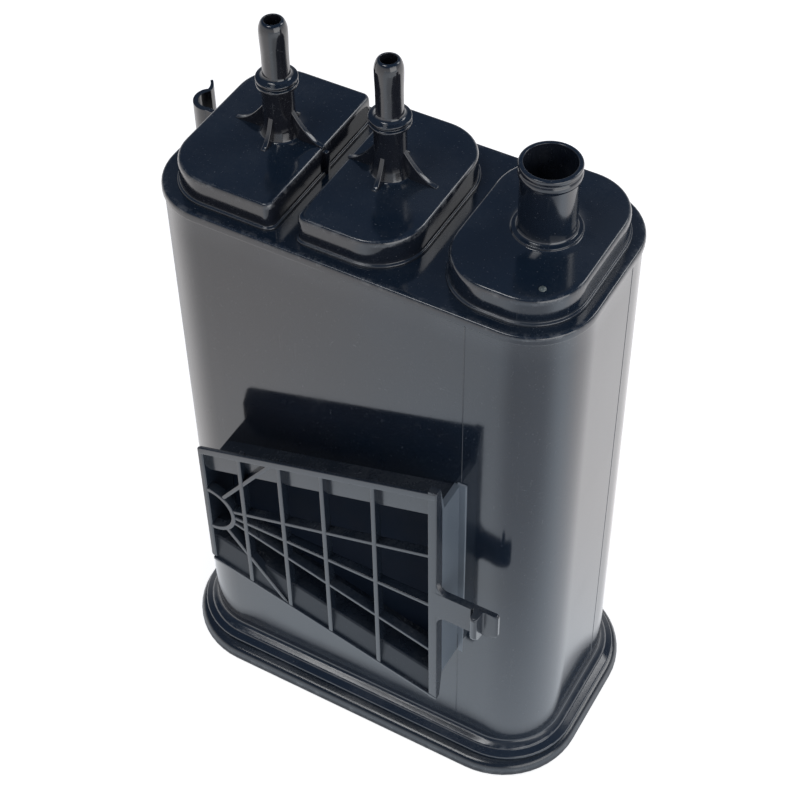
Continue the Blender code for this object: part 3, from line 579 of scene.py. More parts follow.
def parting_lines():
    """Two fine raised seams of the mould, narrow bars with a round front, up the front and the right end."""
    parts = []
    half = PARTING_HALF
    round_front = np.array(arc(0.0, 0.0, half, 0, 180, 6))
    out = np.array([-PARTING_SINK, *0.5 * round_front[:, 1], -PARTING_SINK])
    side = np.array([half, *round_front[:, 0], -half])
    for in_front in (True, False):
        rings = []
        for z in (FLANGE_TOP + PARTING_ENDS[0], ROOF_TOP - LIP_TALL - PARTING_ENDS[1]):
            lean = (HALF_DEPTH_FOOT - HALF_DEPTH_ROOF) * (z - FLANGE_TOP) / (ROOF_TOP - FLANGE_TOP)
            x, y = (PARTING_X + side, lean - HALF_DEPTH_FOOT - out) if in_front else (HALF_LENGTH + out,
                                                                                      PARTING_Y + side)
            rings.append(np.column_stack([x, y, np.full(len(side), z)]))
        part = lofted("parting_line", rings)
        outward(part)
        parts.append(part)
    return joined("parting_lines", parts)


def mould_pip():
    """Small round pip on the air dome: its height falls from the middle as a quarter of a circle."""
    turn = np.linspace(0, 2 * math.pi, 33)[:-1]
    circle = np.column_stack([np.cos(turn), np.sin(turn)])
    rings = [raised(PIP_PLACE + PIP_RADIUS * math.cos(up) * circle,
                    DOME_TOP - EASE + 0.8 * PIP_RADIUS * math.sin(up))
             for up in np.linspace(0, math.pi / 2, 8)[:-1]]
    return lofted("mould_pip", rings)


def rail_top(x):
    """Height of the lattice's top edge."""
    return LATTICE_TOP_RIGHT + (x - LATTICE_RIGHT) * TOP_SLOPE


def rail_low(x):
    """Height of the lattice's lower edge."""
    return LATTICE_LOW_RIGHT + (x - LATTICE_RIGHT) * LOW_SLOPE


def rectangle(x0, x1, y0, y1):
    """Four corners, anticlockwise."""
    return [(x0, y0), (x1, y0), (x1, y1), (x0, y1)]


def sloped(x0, x1, edge, low, high):
    """Four corners of a band between two heights above a sloping edge."""
    return [(x0, edge(x0) + low), (x1, edge(x1) + low), (x1, edge(x1) + high), (x0, edge(x0) + high)]


def arc(x, y, radius, start, end, steps):
    """Points along part of a circle, with angles in degrees."""
    angle = np.radians(np.linspace(start, end, steps + 1))
    return list(zip(x + radius * np.cos(angle), y + radius * np.sin(angle)))


def fan_reach(angle):
    """Length of a fan rib from the hub's centre to the middle of the bar that it ends on."""
    slope = math.tan(math.radians(angle))
    ends = [LATTICE_RIGHT - SIDE_BAR / 2 - HUB_X]
    if slope > TOP_SLOPE:
        ends.append((rail_top(HUB_X) - RAIL / 2 - HUB_HEIGHT) / (slope - TOP_SLOPE))
    if slope < LOW_SLOPE:
        ends.append((rail_low(HUB_X) + LOW_RAIL / 2 - HUB_HEIGHT) / (slope - LOW_SLOPE))
    return min(ends) / math.cos(math.radians(angle))


def fan_rib(angle):
    """Rib from the hub's ring at this angle above the level."""
    turn = math.radians(angle)
    along = np.array([math.cos(turn), math.sin(turn)])
    across = np.array([-along[1], along[0]]) * FAN_RIB / 2
    hub = np.array([HUB_X, HUB_HEIGHT])
    near, far = HUB_RADIUS - FAN_RIB / 2, fan_reach(angle)
    near, far = hub + along * near, hub + along * far
    profile = [near - across, far - across, far + across, near + across]
    return prism("fan_rib", profile, 1, FRONT + EASE, FRONT + RIB_DEPTH, EASE)


def leaning_bar(name, left, right, edge, profile, ease, steps):
    """Bar along a sloping edge: the same section, (y, rise) points, at both ends, joined by straight lines."""
    rings = [[(x, y, edge(x) + rise) for y, rise in profile] for x in (left, right)]
    obj = lofted(name, rings)
    outward(obj)
    ease_edges(obj, ease, steps)
    return obj


def top_rail(left, right):
    """Top bar: flat front, thin top, and a back that leans down to the web's upper edge."""
    front = FRONT + WEB_SETBACK + SEAM
    back = FRONT + WEB_SETBACK + WEB_THICK - SEAM
    profile = ((FRONT, -RAIL), (FRONT, 0.0), (FRONT + RAIL_TOP, 0.0), (back, -RAIL_BACK), (front, -RAIL_BACK))
    return leaning_bar("top_rail", left, right, rail_top, profile, EASE, 2)


def lattice():
    """Frame, uprights, half ring and fan ribs on the bracket's front plane."""
    left, right = LATTICE_LEFT, LATTICE_RIGHT
    deep = FRONT + FRAME_DEPTH
    parts = [
        top_rail(left + SEAM, right - SEAM),
        prism("low_rail", sloped(left + SEAM, right - SEAM, rail_low, SEAM, LOW_RAIL), 1, FRONT,
              FRONT + LOW_RAIL_DEPTH),
    ]
    low, high = rail_low(left), rail_top(left)
    side = [(FRONT + SEAM, low + RAIL), (FRONT + 0.0012, low), (deep, low), (deep, high - RAIL_BACK),
            (FRONT + RAIL_TOP, high - EASE), (FRONT + SEAM, high - EASE)]
    parts.append(prism("left_bar", side, 0, left - LEFT_PROUD, left + LEFT_BAR, 0.0006, 3))
    low_end = rail_low(right)
    plate_top = rail_top(right) - WEB_TALL + PLATE
    face = FRONT + 2 * SEAM
    bar = [(face, low_end), (FRONT + LOW_RAIL_DEPTH, low_end), (deep, low_end + LOW_PLATE_RISE),
           (deep, plate_top), (deep - NOTCH, rail_top(right)), (face, rail_top(right))]
    parts.append(prism("right_bar", bar, 0, right - SIDE_BAR, right))
    for x in UPRIGHTS:
        profile = rectangle(x - RIB / 2, x + RIB / 2, rail_low(x) + LOW_RAIL / 2, rail_top(x) - RAIL / 2)
        parts.append(prism("upright", profile, 1, FRONT + UPRIGHT_STEP, FRONT + RIB_DEPTH, EASE))
    ring = arc(HUB_X, HUB_HEIGHT, HUB_RADIUS, -90, 90, 32)
    ring += arc(HUB_X, HUB_HEIGHT, HUB_RADIUS - RIB, 90, -90, 32)
    parts.append(prism("hub_ring", ring, 1, FRONT + RIB_STEP, FRONT + RIB_DEPTH, EASE))
    parts += [fan_rib(angle) for angle in FAN_ANGLES]
    return joined("bracket_lattice", parts)


def low_web(left, right):
    """Web below the low plate: a leaning slab whose four long edges run along the low rail's slope."""
    low, high = FRONT + LOW_RAIL_DEPTH - 0.0002, FRONT + FRAME_DEPTH - 2 * EASE
    foot, head = LOW_RAIL / 2, LOW_PLATE_RISE - SEAM
    profile = ((low - WEB_THICK, foot), (low, foot), (high, head), (high - WEB_THICK, head))
    return leaning_bar("low_web", left, right, rail_low, profile, 0.0007, 3)


def bracket_box():
    """Web, plates and walls that carry the lattice off the housing."""
    left, right = LATTICE_LEFT, LATTICE_RIGHT
    web_front = FRONT + WEB_SETBACK
    top_edge = PLATE - WEB_TALL
    plate_top = rail_top(right) + top_edge
    plate_low = rail_low(right) + LOW_PLATE_RISE
    deep = FRONT + FRAME_DEPTH
    web = sloped(left + SEAM, right - PANEL / 2, rail_top, -WEB_TALL, EASE - RAIL_BACK)
    top = sloped(left, right - PANEL / 2, rail_top, -WEB_TALL, top_edge)
    low = sloped(left, right - PANEL / 2, rail_low, LOW_PLATE_RISE - PLATE, LOW_PLATE_RISE)
    inner = left + LEFT_BAR
    low_left = rail_low(left) + LOW_PLATE_RISE - PLATE
    high_left = rail_top(left) + top_edge
    end = rectangle(left + SEAM, inner - SEAM, low_left, high_left)
    panel = [
        (deep - WEB_THICK, plate_low),
        (IN_WALL, plate_low),
        (IN_WALL, plate_top),
        (deep + NOTCH, plate_top),
        (deep - NOTCH, rail_top(right) - EASE),
        (deep - WEB_THICK, rail_top(right) - EASE),
    ]
    strip_face = -HALF_DEPTH_ROOF - FOOT_STRIP_PROUD
    strip = rectangle(right - PANEL / 2, right + FOOT_STRIP, strip_face, IN_WALL)
    strip_ends = plate_low - FOOT_STRIP_OVER, plate_top + FOOT_STRIP_OVER
    parts = [
        prism("web", web, 1, web_front, web_front + WEB_THICK),
        prism("top_plate", top, 1, web_front + EASE, IN_WALL),
        prism("low_plate", low, 1, deep - WEB_THICK - EASE, IN_WALL),
        prism("left_wall", end, 1, FRONT + 2 * EASE, IN_WALL),
    ]
    side = [
        prism("right_panel", panel, 0, right - PANEL, right - SEAM),
        prism("foot_strip", strip, 2, *strip_ends, 0.0004),
    ]
    return joined("bracket_box", parts), joined("bracket_panel", side)


def box_lining():
    """Painted shade: a rough dark flat plate over the wall inside the bracket's box, between the two sloping
    plates.
    """
    left, right = LATTICE_LEFT + LEFT_BAR, LATTICE_RIGHT - PANEL
    low, high = LOW_PLATE_RISE - EASE, EASE - WEB_TALL
    face = [(left, rail_low(left) + low), (right, rail_low(right) + low), (right, rail_top(right) + high),
            (left, rail_top(left) + high)]
    return prism("box_lining", face, 1, -HALF_DEPTH_FOOT - EASE, IN_WALL - EASE)


def hook_plan(full):
    """Plan outline of the hook's arm, groove, nose and end tab; full is how far nose and tip stand out."""
    right = LATTICE_RIGHT
    start, nose, end = right - SIDE_BAR / 2, right + CATCH_AT, right + HOOK_REACH - HOOK_ROUND * (1 - full)
    back = FRONT + HOOK_THICK
    proud = FRONT - CATCH_PROUD * (0.3 + 0.7 * full)
    return [
        (start, FRONT + RIB_STEP),
        (nose - GROOVE_WIDE, FRONT + RIB_STEP),
        (nose - EASE, FRONT + GROOVE_DEEP),
        (nose + EASE, FRONT + GROOVE_DEEP - HOOK_EASE),
        (nose + NOSE_ROUND, proud + NOSE_ROUND - RIB_STEP),
        (nose + 2 * NOSE_ROUND, proud),
        (nose + CATCH_WIDE - NOSE_ROUND, proud),
        (nose + CATCH_WIDE, proud + NOSE_ROUND),
        (nose + CATCH_WIDE * 1.1, FRONT + CATCH_WIDE * 0.25),
        (nose + CATCH_WIDE * 1.3, FRONT + CATCH_WIDE * 0.33),
        (end - HOOK_THICK * 0.4, FRONT + CATCH_WIDE * 0.30),
        (end, FRONT + CATCH_WIDE * 0.45),
        (end, back - EASE),
        (end - MARK_REACH, back),
        (start, back),
    ]


def snap_hook():
    """Hook and its root curves: the plan carried up, drawn in near both edges as a quarter of a circle."""
    right = LATTICE_RIGHT
    back = FRONT + HOOK_THICK
    start = right - SIDE_BAR / 2
    low, high = HOOK_LOW, HOOK_LOW + HOOK_TALL
    turn = np.linspace(0, math.pi / 2, 8)
    rise, full = HOOK_ROUND * (1 - np.cos(turn)), np.sin(turn)
    levels = list(zip(low + rise, full)) + list(zip(high - 0.4 * rise[::-1], 0.6 + 0.4 * full[::-1]))
    arm = lofted("hook_arm", [[(x, y, z) for x, y in hook_plan(amount)] for z, amount in levels])
    outward(arm)
    ease_edges(arm, HOOK_EASE, sharper_than=40)
    root = [(start, low - HOOK_ROOT)]
    root += arc(right + HOOK_ROOT, low - HOOK_ROOT, HOOK_ROOT, 180, 90, 10)
    root += arc(right + HOOK_ROOT, high + HOOK_ROOT, HOOK_ROOT, -90, -180, 10)
    root.append((start, high + HOOK_ROOT))
    return joined("snap_hook", [arm, prism("hook_root", root, 1, FRONT + HOOK_EASE, back - HOOK_EASE, EASE)])


def hose_clip():
    """Open C: a band of changing thickness about a middle line of root, arc and flared tip."""
    x = -(HALF_LENGTH + CLIP_OFF_WALL) + SEAM
    middle = [(-HALF_LENGTH + WALL / 2, CLIP_Y - CLIP_RADIUS)]
    middle += arc(x, CLIP_Y, CLIP_RADIUS, 290, 130, 30)
    end_x, end_y = middle[-1]
    share = np.linspace(0, 1, 7)[1:]
    middle += list(zip(end_x - CLIP_RADIUS * 0.45 * share**2, end_y + CLIP_RADIUS * 0.95 * share))
    middle = np.array(middle)
    way = np.gradient(middle, axis=0)
    way /= np.linalg.norm(way, axis=1)[:, None]
    across = np.column_stack([-way[:, 1], way[:, 0]])
    taper = np.clip((np.arange(len(middle)) - len(middle) + 11) / 10, 0, 1)
    half = (CLIP_THICK + (CLIP_TIP - CLIP_THICK) * taper)[:, None] / 2
    profile = np.concatenate([middle + across * half, (middle - across * half)[::-1]])
    return prism("hose_clip", profile, 2, ROOF_TOP - CLIP_TALL, ROOF_TOP - EASE, EASE)


def cover_outline(inward, z):
    """Outline of the cover, this far inside its widest edge."""
    x = HALF_LENGTH + COVER_OVER[0] - inward
    y = HALF_DEPTH_FOOT + COVER_OVER[1] - inward
    radius = max(CORNER + COVER_OVER[1] - inward, EASE)
    return raised(outline(-x, x, -y, y, radius, radius), z)


def cover():
    """Cover: from the recess under it, round the foot and the bulged edge, up to the weld seam."""
    inward = COVER_OVER[1] - BAND[1]
    low, high = COVER_EDGE
    top = WELD_HEIGHT - WELD_GAP
    path = [
        (COVER_RIM, COVER_RECESS),
        (COVER_RIM - EASE, 0.0),
        (low, 0.0),
        (0.0, low),
        (0.0, high),
        (inward * 0.25, high + (top - high) * 0.72),
        (inward, top),
        (inward + 0.004, top),
    ]
    curve = eased(path, [0, 0.0004, 0.0008, 0.0010, 0.0016, 0.0016, 0.0005, 0], 6)
    rings = [cover_outline(*point) for point in curve]
    # Cover edges marked here get light wear that is partly a painted highlight
    wear_and_highlight = [float(low < z < high + 2 * EASE) for _, z in curve]
    grimy = [float(z > top - MARK_REACH) for _, z in curve]
    return lofted("cover_rim", rings, (True, True), marks={"wear_and_highlight": wear_and_highlight, "grimy": grimy})


def cover_ribs():
    """Rib grid and foot pad in the recess under the cover."""
    half_x = HALF_LENGTH + COVER_OVER[0] - COVER_RIM
    half_y = HALF_DEPTH_FOOT + COVER_OVER[1] - COVER_RIM
    radius = CORNER + COVER_OVER[1] - COVER_RIM
    half = COVER_RIB / 2
    parts = []

    def reach(place, limit, other):
        """Half length of a rib at this place, shortened where the recess turns its corner."""
        past = max(abs(place) - (limit - radius), 0.0)
        return other - radius + math.sqrt(max(radius**2 - past**2, 0.0))

    for index in range(1, COVER_CELLS[0]):
        x = -half_x + 2 * half_x * index / COVER_CELLS[0]
        long = reach(x, half_x, half_y)
        parts.append(prism("cross_rib", rectangle(x - half, x + half, -long, long), 2, RIB_STEP, COVER_RECESS))
    for index in range(1, COVER_CELLS[1]):
        y = -half_y + 2 * half_y * index / COVER_CELLS[1]
        long = reach(y, half_y, half_x)
        parts.append(prism("long_rib", rectangle(-long, long, y - half, y + half), 2, UPRIGHT_STEP, COVER_RECESS))
    x, y = FOOT_PAD[0] / 2, FOOT_PAD[1] / 2
    parts.append(prism("foot_pad", rectangle(-x, x, -y, y), 2, 0.0, COVER_RECESS))
    return joined("cover_ribs", parts)


def spring(node):
    """Coil spring: a round wire carried along a helix between the cover and its pressure plate."""
    low, high = (np.array(corner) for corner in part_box(node))
    x, y = (low[0] + high[0]) / 2, (low[1] + high[1]) / 2
    turn = np.linspace(0, 2 * math.pi * SPRING_TURNS, 48 * SPRING_TURNS)[:, None]
    round_wire = np.linspace(0, 2 * math.pi, 13)[:-1][None, :]
    z = low[2] + SPRING_WIRE + (high[2] - low[2] - 2 * SPRING_WIRE) * turn / turn.max()
    radius = SPRING_RADIUS + SPRING_WIRE * np.cos(round_wire)
    points = np.stack(
        [x + radius * np.cos(turn), y + radius * np.sin(turn), z + SPRING_WIRE * np.sin(round_wire)], axis=-1
    )
    return lofted(f"{node}_wire", points)


def opaque(colour):
    """Colour with a fourth value, where it is a plain tuple of three."""
    return (*colour, 1.0) if isinstance(colour, tuple) and len(colour) == 3 else colour


class Graph:
    """Short way to add and link nodes of one node tree."""

    def __init__(self, tree):
        self.tree = tree

    def add(self, kind, settings=None, **inputs):
        node = self.tree.nodes.new(f"ShaderNode{kind}")
        for key, value in (settings or {}).items():
            setattr(node, key, value)
        self.feed(node, **inputs)
        return node

    def feed(self, node, **inputs):
        """Links or sets inputs, each named by its label, with _ for a space, or by i and its number."""
        labels = {socket.name.replace(" ", "_"): socket for socket in reversed(list(node.inputs))}
        for key, value in inputs.items():
            socket = labels[key] if key in labels else node.inputs[int(key[1:])]
            if isinstance(value, bpy.types.NodeSocket):
                self.tree.links.new(value, socket)
            else:
                socket.default_value = value

    def where(self):
        return self.add("TexCoord").outputs["Object"]

    def split(self, vector):
        return self.add("SeparateXYZ", None, Vector=vector).outputs

    def upward(self):
        """How far the surface faces up: 1 on a level top, 0 on a wall."""
        return self.split(self.add("NewGeometry").outputs["Normal"])[2]

    def math(self, operation, a, *others, clamp=False):
        """One sum or product, or a chain of them over more than two values."""
        for b in others or (0.0,):
            a = self.add("Math", {"operation": operation, "use_clamp": clamp}, i0=a, i1=b).outputs[0]
        return a

    def ramp(self, value, low, high, to_low=0.0, to_high=1.0):
        """Smooth step from one value to another while the input goes from low to high."""
        node = self.add("MapRange", {"clamp": True, "interpolation_type": "SMOOTHSTEP"}, i0=value, i1=low,
                        i2=high, i3=to_low, i4=to_high)
        return node.outputs[0]

    def noise(self, where, scale, detail=4.0, rough=0.55):
        node = self.add("TexNoise", None, Vector=where, Scale=scale, Detail=detail, Roughness=rough)
        return node.outputs[0]

    def stretch(self, where, scale, turn):
        return self.add("Mapping", None, Vector=where, Rotation=turn, Scale=scale).outputs[0]

    def blend(self, share, a, b):
        return self.add("Mix", {"data_type": "RGBA"}, i0=share, i6=opaque(a), i7=opaque(b)).outputs[2]

    def relief(self, height, strength, distance, invert=False):
        """Normal of a surface with this bump."""
        bump = self.add("Bump", {"invert": invert}, Strength=strength, Distance=distance, Height=height)
        return bump.outputs[0]


def grime_group():
    """Node group: dust on upward faces and in corners, scratches, nicks and edges of wear and painted highlight
    over a base colour.
    """
    group = bpy.data.node_groups.new("grime", "ShaderNodeTree")
    for label in ("Base", "Dust Colour", *GRIME_VALUES):
        kind = "NodeSocketFloat" if label in GRIME_VALUES else "NodeSocketColor"
        group.interface.new_socket(label, in_out="INPUT", socket_type=kind)
    for label in ("Colour", "Roughness", "Height"):
        kind = "NodeSocketColor" if label == "Colour" else "NodeSocketFloat"
        group.interface.new_socket(label, in_out="OUTPUT", socket_type=kind)
    g = Graph(group)
    given = group.nodes.new("NodeGroupInput").outputs
    where = g.where()
    wear_and_highlight, grimy = (g.add("Attribute", {"attribute_name": mark}).outputs["Fac"] for mark in ("wear_and_highlight", "grimy"))

    cloud = g.noise(where, 38.0, 6.0, 0.62)
    fine = g.noise(where, 700.0, 3.0, 0.7)
    wide = g.noise(where, 9.0, 3.0, 0.5)
    facing = g.ramp(g.upward(), 0.55, 0.98)
    patches = g.ramp(g.math("MULTIPLY", cloud, g.math("ADD", fine, 0.6)), 0.40, 0.78)
    top_dust = g.math("MULTIPLY", facing, patches, given["Top Dust"])
    film = g.math("MULTIPLY", g.ramp(cloud, 0.35, 0.75, 0.35, 1.0), given["All Dust"])
    corner = g.math("MULTIPLY", grimy, g.ramp(cloud, 0.3, 0.6), 0.12)
    dust = g.math("ADD", g.math("ADD", top_dust, film), corner, clamp=True)

    lines = None
    for turn, scale in (((0.3, 0.9, 0.2), (30.0, 900.0, 700.0)), ((1.2, 0.1, 0.8), (700.0, 26.0, 900.0)),
                        ((0.1, 0.5, 1.7), (900.0, 700.0, 22.0))):
        streak = g.noise(g.stretch(where, scale, turn), 1.0, 1.0, 0.4)
        line = g.ramp(g.math("ABSOLUTE", g.math("SUBTRACT", streak, 0.70)), 0.0, 0.010, 1.0, 0.0)
        lines = line if lines is None else g.math("MAXIMUM", lines, line)
    scatter = g.ramp(g.noise(where, 30.0, 3.0, 0.5), 0.56, 0.68)
    scratch = g.math("MULTIPLY", lines, scatter, given["Scratches"])
    nick = g.math("MULTIPLY", g.ramp(g.noise(where, 1500.0, 1.0, 0.5), 0.70, 0.78), given["Nicks"])
    # Lighter marked edges: partly wear, partly a painted highlight
    edge = g.math("MULTIPLY", wear_and_highlight, g.ramp(g.noise(where, 260.0, 4.0, 0.7), 0.45, 0.70), 0.28)
    mark = g.math("MAXIMUM", scratch, nick, edge)

    colour = g.blend(dust, given["Base"], given["Dust Colour"])
    colour = g.blend(mark, colour, WEAR_AND_HIGHLIGHT_TONE)
    rough = g.math("ADD", given["Smooth"], g.math("MULTIPLY", g.ramp(wide, 0.35, 0.7), 0.06),
                   g.math("MULTIPLY", g.ramp(cloud, 0.45, 0.75), 0.05))
    span = g.math("SUBTRACT", given["Rough"], given["Smooth"])
    rough = g.math("ADD", rough, g.math("MULTIPLY", g.math("MAXIMUM", dust, mark), span), clamp=True)
    height = g.math("SUBTRACT", g.math("MULTIPLY", fine, 0.25), g.math("MULTIPLY", scratch, 0.6))
    g.feed(group.nodes.new("NodeGroupOutput"), Colour=colour, Roughness=rough, Height=height)
    return group


def new_material(name):
    """Empty material with one Principled shader, and the graph to build on."""
    made = bpy.data.materials.new(name)
    made.use_nodes = True
    made.node_tree.nodes.clear()
    g = Graph(made.node_tree)
    shader = g.add("BsdfPrincipled")
    g.add("OutputMaterial", None, Surface=shader.outputs[0])
    return made, g, shader


def nylon(name, group, base, dust, *values):
    """Black moulded nylon under the shared grime; of two tones the cooler, a painted bluish reflection, lies
    right, low down and on top.
    """
    made, g, shader = new_material(name)
    *grime, gloss = values
    if len(base) == 2:
        where = g.where()
        place = g.split(where)
        across = g.math("SUBTRACT", g.math("MULTIPLY", place[0], 5.0), g.math("MULTIPLY", place[2], 3.0))
        across = g.math("ADD", across, g.noise(where, 24.0))
        # Painted reflection: the base turns to the cool tone to the right, low down and on faces that look up
        cool = g.math("MAXIMUM", g.ramp(across, -0.45, 0.55), g.ramp(g.upward(), 0.3, 0.8))
        base = g.blend(cool, *base)
    over = g.add("Group", {"node_tree": group}, Base=opaque(base), Dust_Colour=opaque(dust),
                 **{label.replace(" ", "_"): value for label, value in zip(GRIME_VALUES, grime)}).outputs
    g.feed(shader, Base_Color=over["Colour"], Roughness=over["Roughness"],
           Normal=g.relief(over["Height"], 0.6, 0.00002), IOR=1.70, Specular_IOR_Level=gloss)
    return made


def rough_black():
    """Painted shade for the sheet inside the bracket's box: unpolished black with fine grain that hardly mirrors.
    """
    made, g, shader = new_material("rough_black")
    where = g.where()
    cloud = g.noise(where, 60.0, 5.0)
    g.feed(shader, Base_Color=g.blend(g.ramp(cloud, 0.35, 0.7), (0.005, 0.010, 0.021), (0.009, 0.016, 0.030)),
           Normal=g.relief(g.noise(where, 1200.0), 0.5, 0.0001), Roughness=g.ramp(cloud, 0.3, 0.8, 0.6, 0.8),
           Specular_IOR_Level=0.1)
    return made


def granules():
    """Activated carbon: dull black grains about 2 mm across."""
    made, g, shader = new_material("carbon_grains")
    where = g.where()
    grain = g.add("TexVoronoi", None, Vector=where, Scale=480.0).outputs["Distance"]
    tone = g.ramp(grain, 0.0, 0.8, 0.035, 0.006)
    g.feed(shader, Base_Color=g.add("CombineColor", None, i0=tone, i1=tone, i2=tone).outputs[0],
           Normal=g.relief(grain, 1.0, 0.0008, invert=True),
           Roughness=g.ramp(g.noise(where, 900.0), 0.3, 0.7, 0.55, 0.95))
    return made


def fleece():
    """Pressed filter fleece: off-white with fine crossing fibres."""
    made, g, shader = new_material("fleece")
    where = g.where()
    strands = [g.noise(g.stretch(where, scale, (0.0, 0.0, turn)), 1.0, 3.0)
               for scale, turn in (((400.0, 3000.0, 3000.0), 0.5), ((3000.0, 500.0, 3000.0), -0.3))]
    fibres = g.math("MAXIMUM", *strands)
    g.feed(shader, Base_Color=g.blend(g.ramp(fibres, 0.4, 0.75), (0.42, 0.40, 0.35), (0.72, 0.70, 0.64)),
           Normal=g.relief(fibres, 0.8, 0.0003), Roughness=g.ramp(fibres, 0.3, 0.8, 0.85, 1.0))
    return made


def wire_steel():
    """Drawn spring wire: bright steel with patches of tarnish."""
    made, g, shader = new_material("wire_steel")
    cloud = g.noise(g.where(), 160.0, 5.0)
    g.feed(shader, Base_Color=g.blend(g.ramp(cloud, 0.4, 0.7), (0.55, 0.55, 0.56), (0.36, 0.34, 0.32)),
           Roughness=g.ramp(cloud, 0.3, 0.8, 0.22, 0.45), Metallic=1.0)
    return made


def backdrop():
    """Pale floor that shows white to the camera and keeps a soft shadow.

    What the canister mirrors of it carries painted shade: it is dimmer in two round pools, towards the front, and
    close to the foot, a painted contact shadow where the distance to the foot's rounded outline is small. It is
    cool at the right front and warm elsewhere, a painted tint of the reflections.
    """
    made, g, shader = new_material("floor_white")
    rays = g.add("LightPath").outputs
    where = g.where()
    place = g.split(where)
    shades = [g.ramp(g.add("VectorMath", {"operation": "DISTANCE"}, i0=where, i1=centre).outputs["Value"],
                     inner, outer, least, 1.0) for centre, inner, outer, least in FLOOR_POOLS]
    shades.append(g.ramp(place[1], -0.22, -0.06, 0.74, 1.0))
    # Painted contact shadow: the mirrored floor darkens close to the foot's rounded outline
    corner = CORNER + COVER_OVER[1]
    beyond = []
    for axis, half in ((0, HALF_LENGTH + COVER_OVER[0]), (1, HALF_DEPTH_FOOT + COVER_OVER[1])):
        past = g.math("SUBTRACT", g.math("ABSOLUTE", place[axis]), half - corner)
        beyond.append(g.math("POWER", g.math("MAXIMUM", past, 0.0), 2.0))
    reach = g.math("SUBTRACT", g.math("SQRT", g.math("ADD", *beyond)), corner)
    shades.append(g.ramp(reach, 0.001, 0.006, 0.15, 1.0))
    # Painted tint of the reflections: cool at the right front, warm elsewhere
    cool = g.math("MULTIPLY", g.ramp(place[0], -0.16, -0.02), g.ramp(place[1], -0.05, 0.10, 1.0, 0.0))
    tint = g.blend(cool, (1.0, 0.965, 0.945), (0.81, 0.91, 1.0))
    mirrored = g.math("MAXIMUM", rays["Is Glossy Ray"], rays["Is Transmission Ray"])
    seen = g.math("MULTIPLY", rays["Is Camera Ray"], FLOOR_SEEN)
    g.feed(shader, Base_Color=(0.86, 0.84, 0.82, 1.0), Roughness=0.9, Specular_IOR_Level=0.0,
           Emission_Color=g.blend(rays["Is Camera Ray"], tint, WHITE),
           Emission_Strength=g.math("MAXIMUM", g.math("MULTIPLY", mirrored, g.math("MULTIPLY", *shades)), seen))
    flat = np.array(rectangle(-FLOOR_HALF, FLOOR_HALF, -FLOOR_HALF, FLOOR_HALF))
    floor = mesh_object("floor", raised(flat, -FLOOR_DROP), [[0, 1, 2, 3]])
    floor.data.materials.append(made)


def lamp(name, place, size, power):
    """Square or oblong soft lamp that points at the canister."""
    light = bpy.data.lights.new(name, "AREA")
    light.shape = "RECTANGLE"
    light.size, light.size_y = size
    light.energy = power
    obj = bpy.data.objects.new(name, light)
    way = Vector(LAMP_TARGET) - Vector(place)
    obj.matrix_world = Matrix.Translation(place) @ way.to_track_quat("-Z", "Y").to_matrix().to_4x4()
    bpy.context.scene.collection.objects.link(obj)


def world_light():
    """Plain light from all round, pale at the horizon and dark blue above, and white to the camera."""
    world = bpy.data.worlds.new("world")
    bpy.context.scene.world = world
    world.use_nodes = True
    world.node_tree.nodes.clear()
    g = Graph(world.node_tree)
    up = g.split(g.add("TexCoord").outputs["Generated"])[2]
    sky = g.blend(g.ramp(up, 0.05, 0.55), (0.85, 0.86, 0.88), (0.080, 0.102, 0.152))
    seen = g.blend(g.add("LightPath").outputs["Is Camera Ray"], sky, WHITE)
    shader = g.add("Background", None, Color=seen, Strength=1.0)
    g.add("OutputWorld", None, Surface=shader.outputs[0])


def camera():
    """Camera as fitted to the photograph's edges: turned, dipped and slightly rolled."""
    forward = Vector((-math.sin(CAMERA_TURN) * math.cos(CAMERA_DIP), math.cos(CAMERA_TURN) * math.cos(CAMERA_DIP),
                      -math.sin(CAMERA_DIP)))
    level = Vector((math.cos(CAMERA_TURN), math.sin(CAMERA_TURN), 0.0))
    down = forward.cross(level)
    right = math.cos(CAMERA_ROLL) * level + math.sin(CAMERA_ROLL) * down
    down = -math.sin(CAMERA_ROLL) * level + math.cos(CAMERA_ROLL) * down
    turn = Matrix((right, -down, -forward)).transposed().to_4x4()
    data = bpy.data.cameras.new("camera")
    data.lens = LENS
    data.sensor_width = SENSOR
    data.sensor_fit = "HORIZONTAL"
    data.clip_start = 0.01
    obj = bpy.data.objects.new("camera", data)
    obj.matrix_world = Matrix.Translation(CAMERA_PLACE) @ turn
    bpy.context.scene.collection.objects.link(obj)
    bpy.context.scene.camera = obj


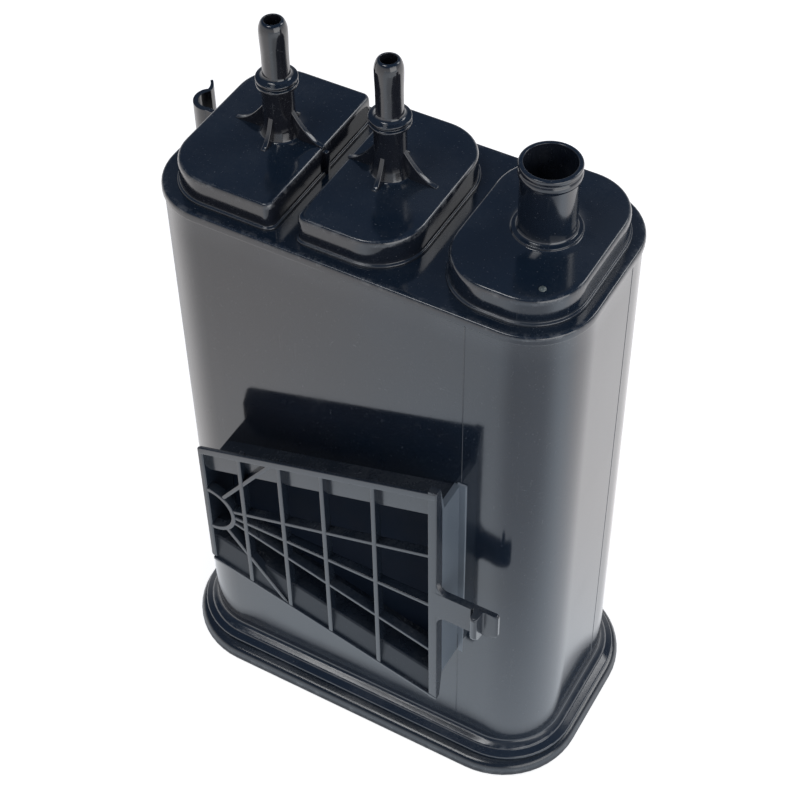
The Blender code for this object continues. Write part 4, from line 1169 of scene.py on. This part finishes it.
def housing_pieces(coats):
    """All visible parts of the one housing moulding, and a dark sheet of painted shade inside the bracket's box.
    """
    body, bracket = coats["housing_black"], coats["bracket_black"]
    box, panel = bracket_box()
    nipple = nipple_profile()
    pieces = [
        (shell(), body),
        (dome_with_port("tank_dome_and_port", TANK_DOME, TANK_PORT_X, *nipple, NIPPLE_DUST), body),
        (dome_with_port("purge_dome_and_port", PURGE_DOME, PURGE_PORT_X, *nipple, NIPPLE_DUST), body),
        (dome_with_port("air_dome_and_port", AIR_DOME, AIR_PORT_X, *air_profile(), AIR_DUST), body),
        (gussets(), body),
        (mould_pip(), coats["pip_grey"]),
        (parting_lines(), body),
        (lattice(), bracket),
        (box, bracket),
        # The right panel gets the lighter copy of the nylon, painted light
        (panel, coats["panel_black"]),
        # The low web gets the darker copy of the nylon, painted shade
        (joined("low_web", [low_web(LATTICE_LEFT + 2 * EASE, LATTICE_RIGHT - PANEL / 2)]), coats["web_black"]),
        # Dark sheet of painted shade over the wall inside the bracket's box
        (box_lining(), rough_black()),
        (snap_hook(), bracket),
        (hose_clip(), body),
    ]
    for piece, coat in pieces:
        dress(piece, coat, "housing_nylon", "housing")


def main():
    """Pieces with their finishes, then floor, light and camera."""
    group = grime_group()
    coats = {name: nylon(name, group, *values) for name, values in NYLONS.items()}
    housing_pieces(coats)
    for piece in (cover(), cover_ribs()):
        dress(piece, coats["cover_black"], "cover_nylon", "bottom_cover")
    steel = wire_steel()
    for node in ("main_spring_left", "main_spring_right", "vent_spring"):
        dress(spring(node), steel, "spring_steel", node)
    filters = ("tank_filter", "purge_filter", "air_filter", "main_lower_filter", "vent_lower_filter")
    inner = (
        (fleece(), filters),
        (granules(), ("main_carbon_bed", "vent_carbon_bed")),
        (coats["plate_black"], ("main_pressure_plate", "vent_pressure_plate")),
    )
    for coat, nodes in inner:
        for node in nodes:
            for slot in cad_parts[node].material_slots:
                slot.material = coat
    backdrop()
    world_light()
    for name, values in LAMPS.items():
        lamp(name, *values)
    camera()
    bpy.context.scene.view_settings.view_transform = "Standard"


main()
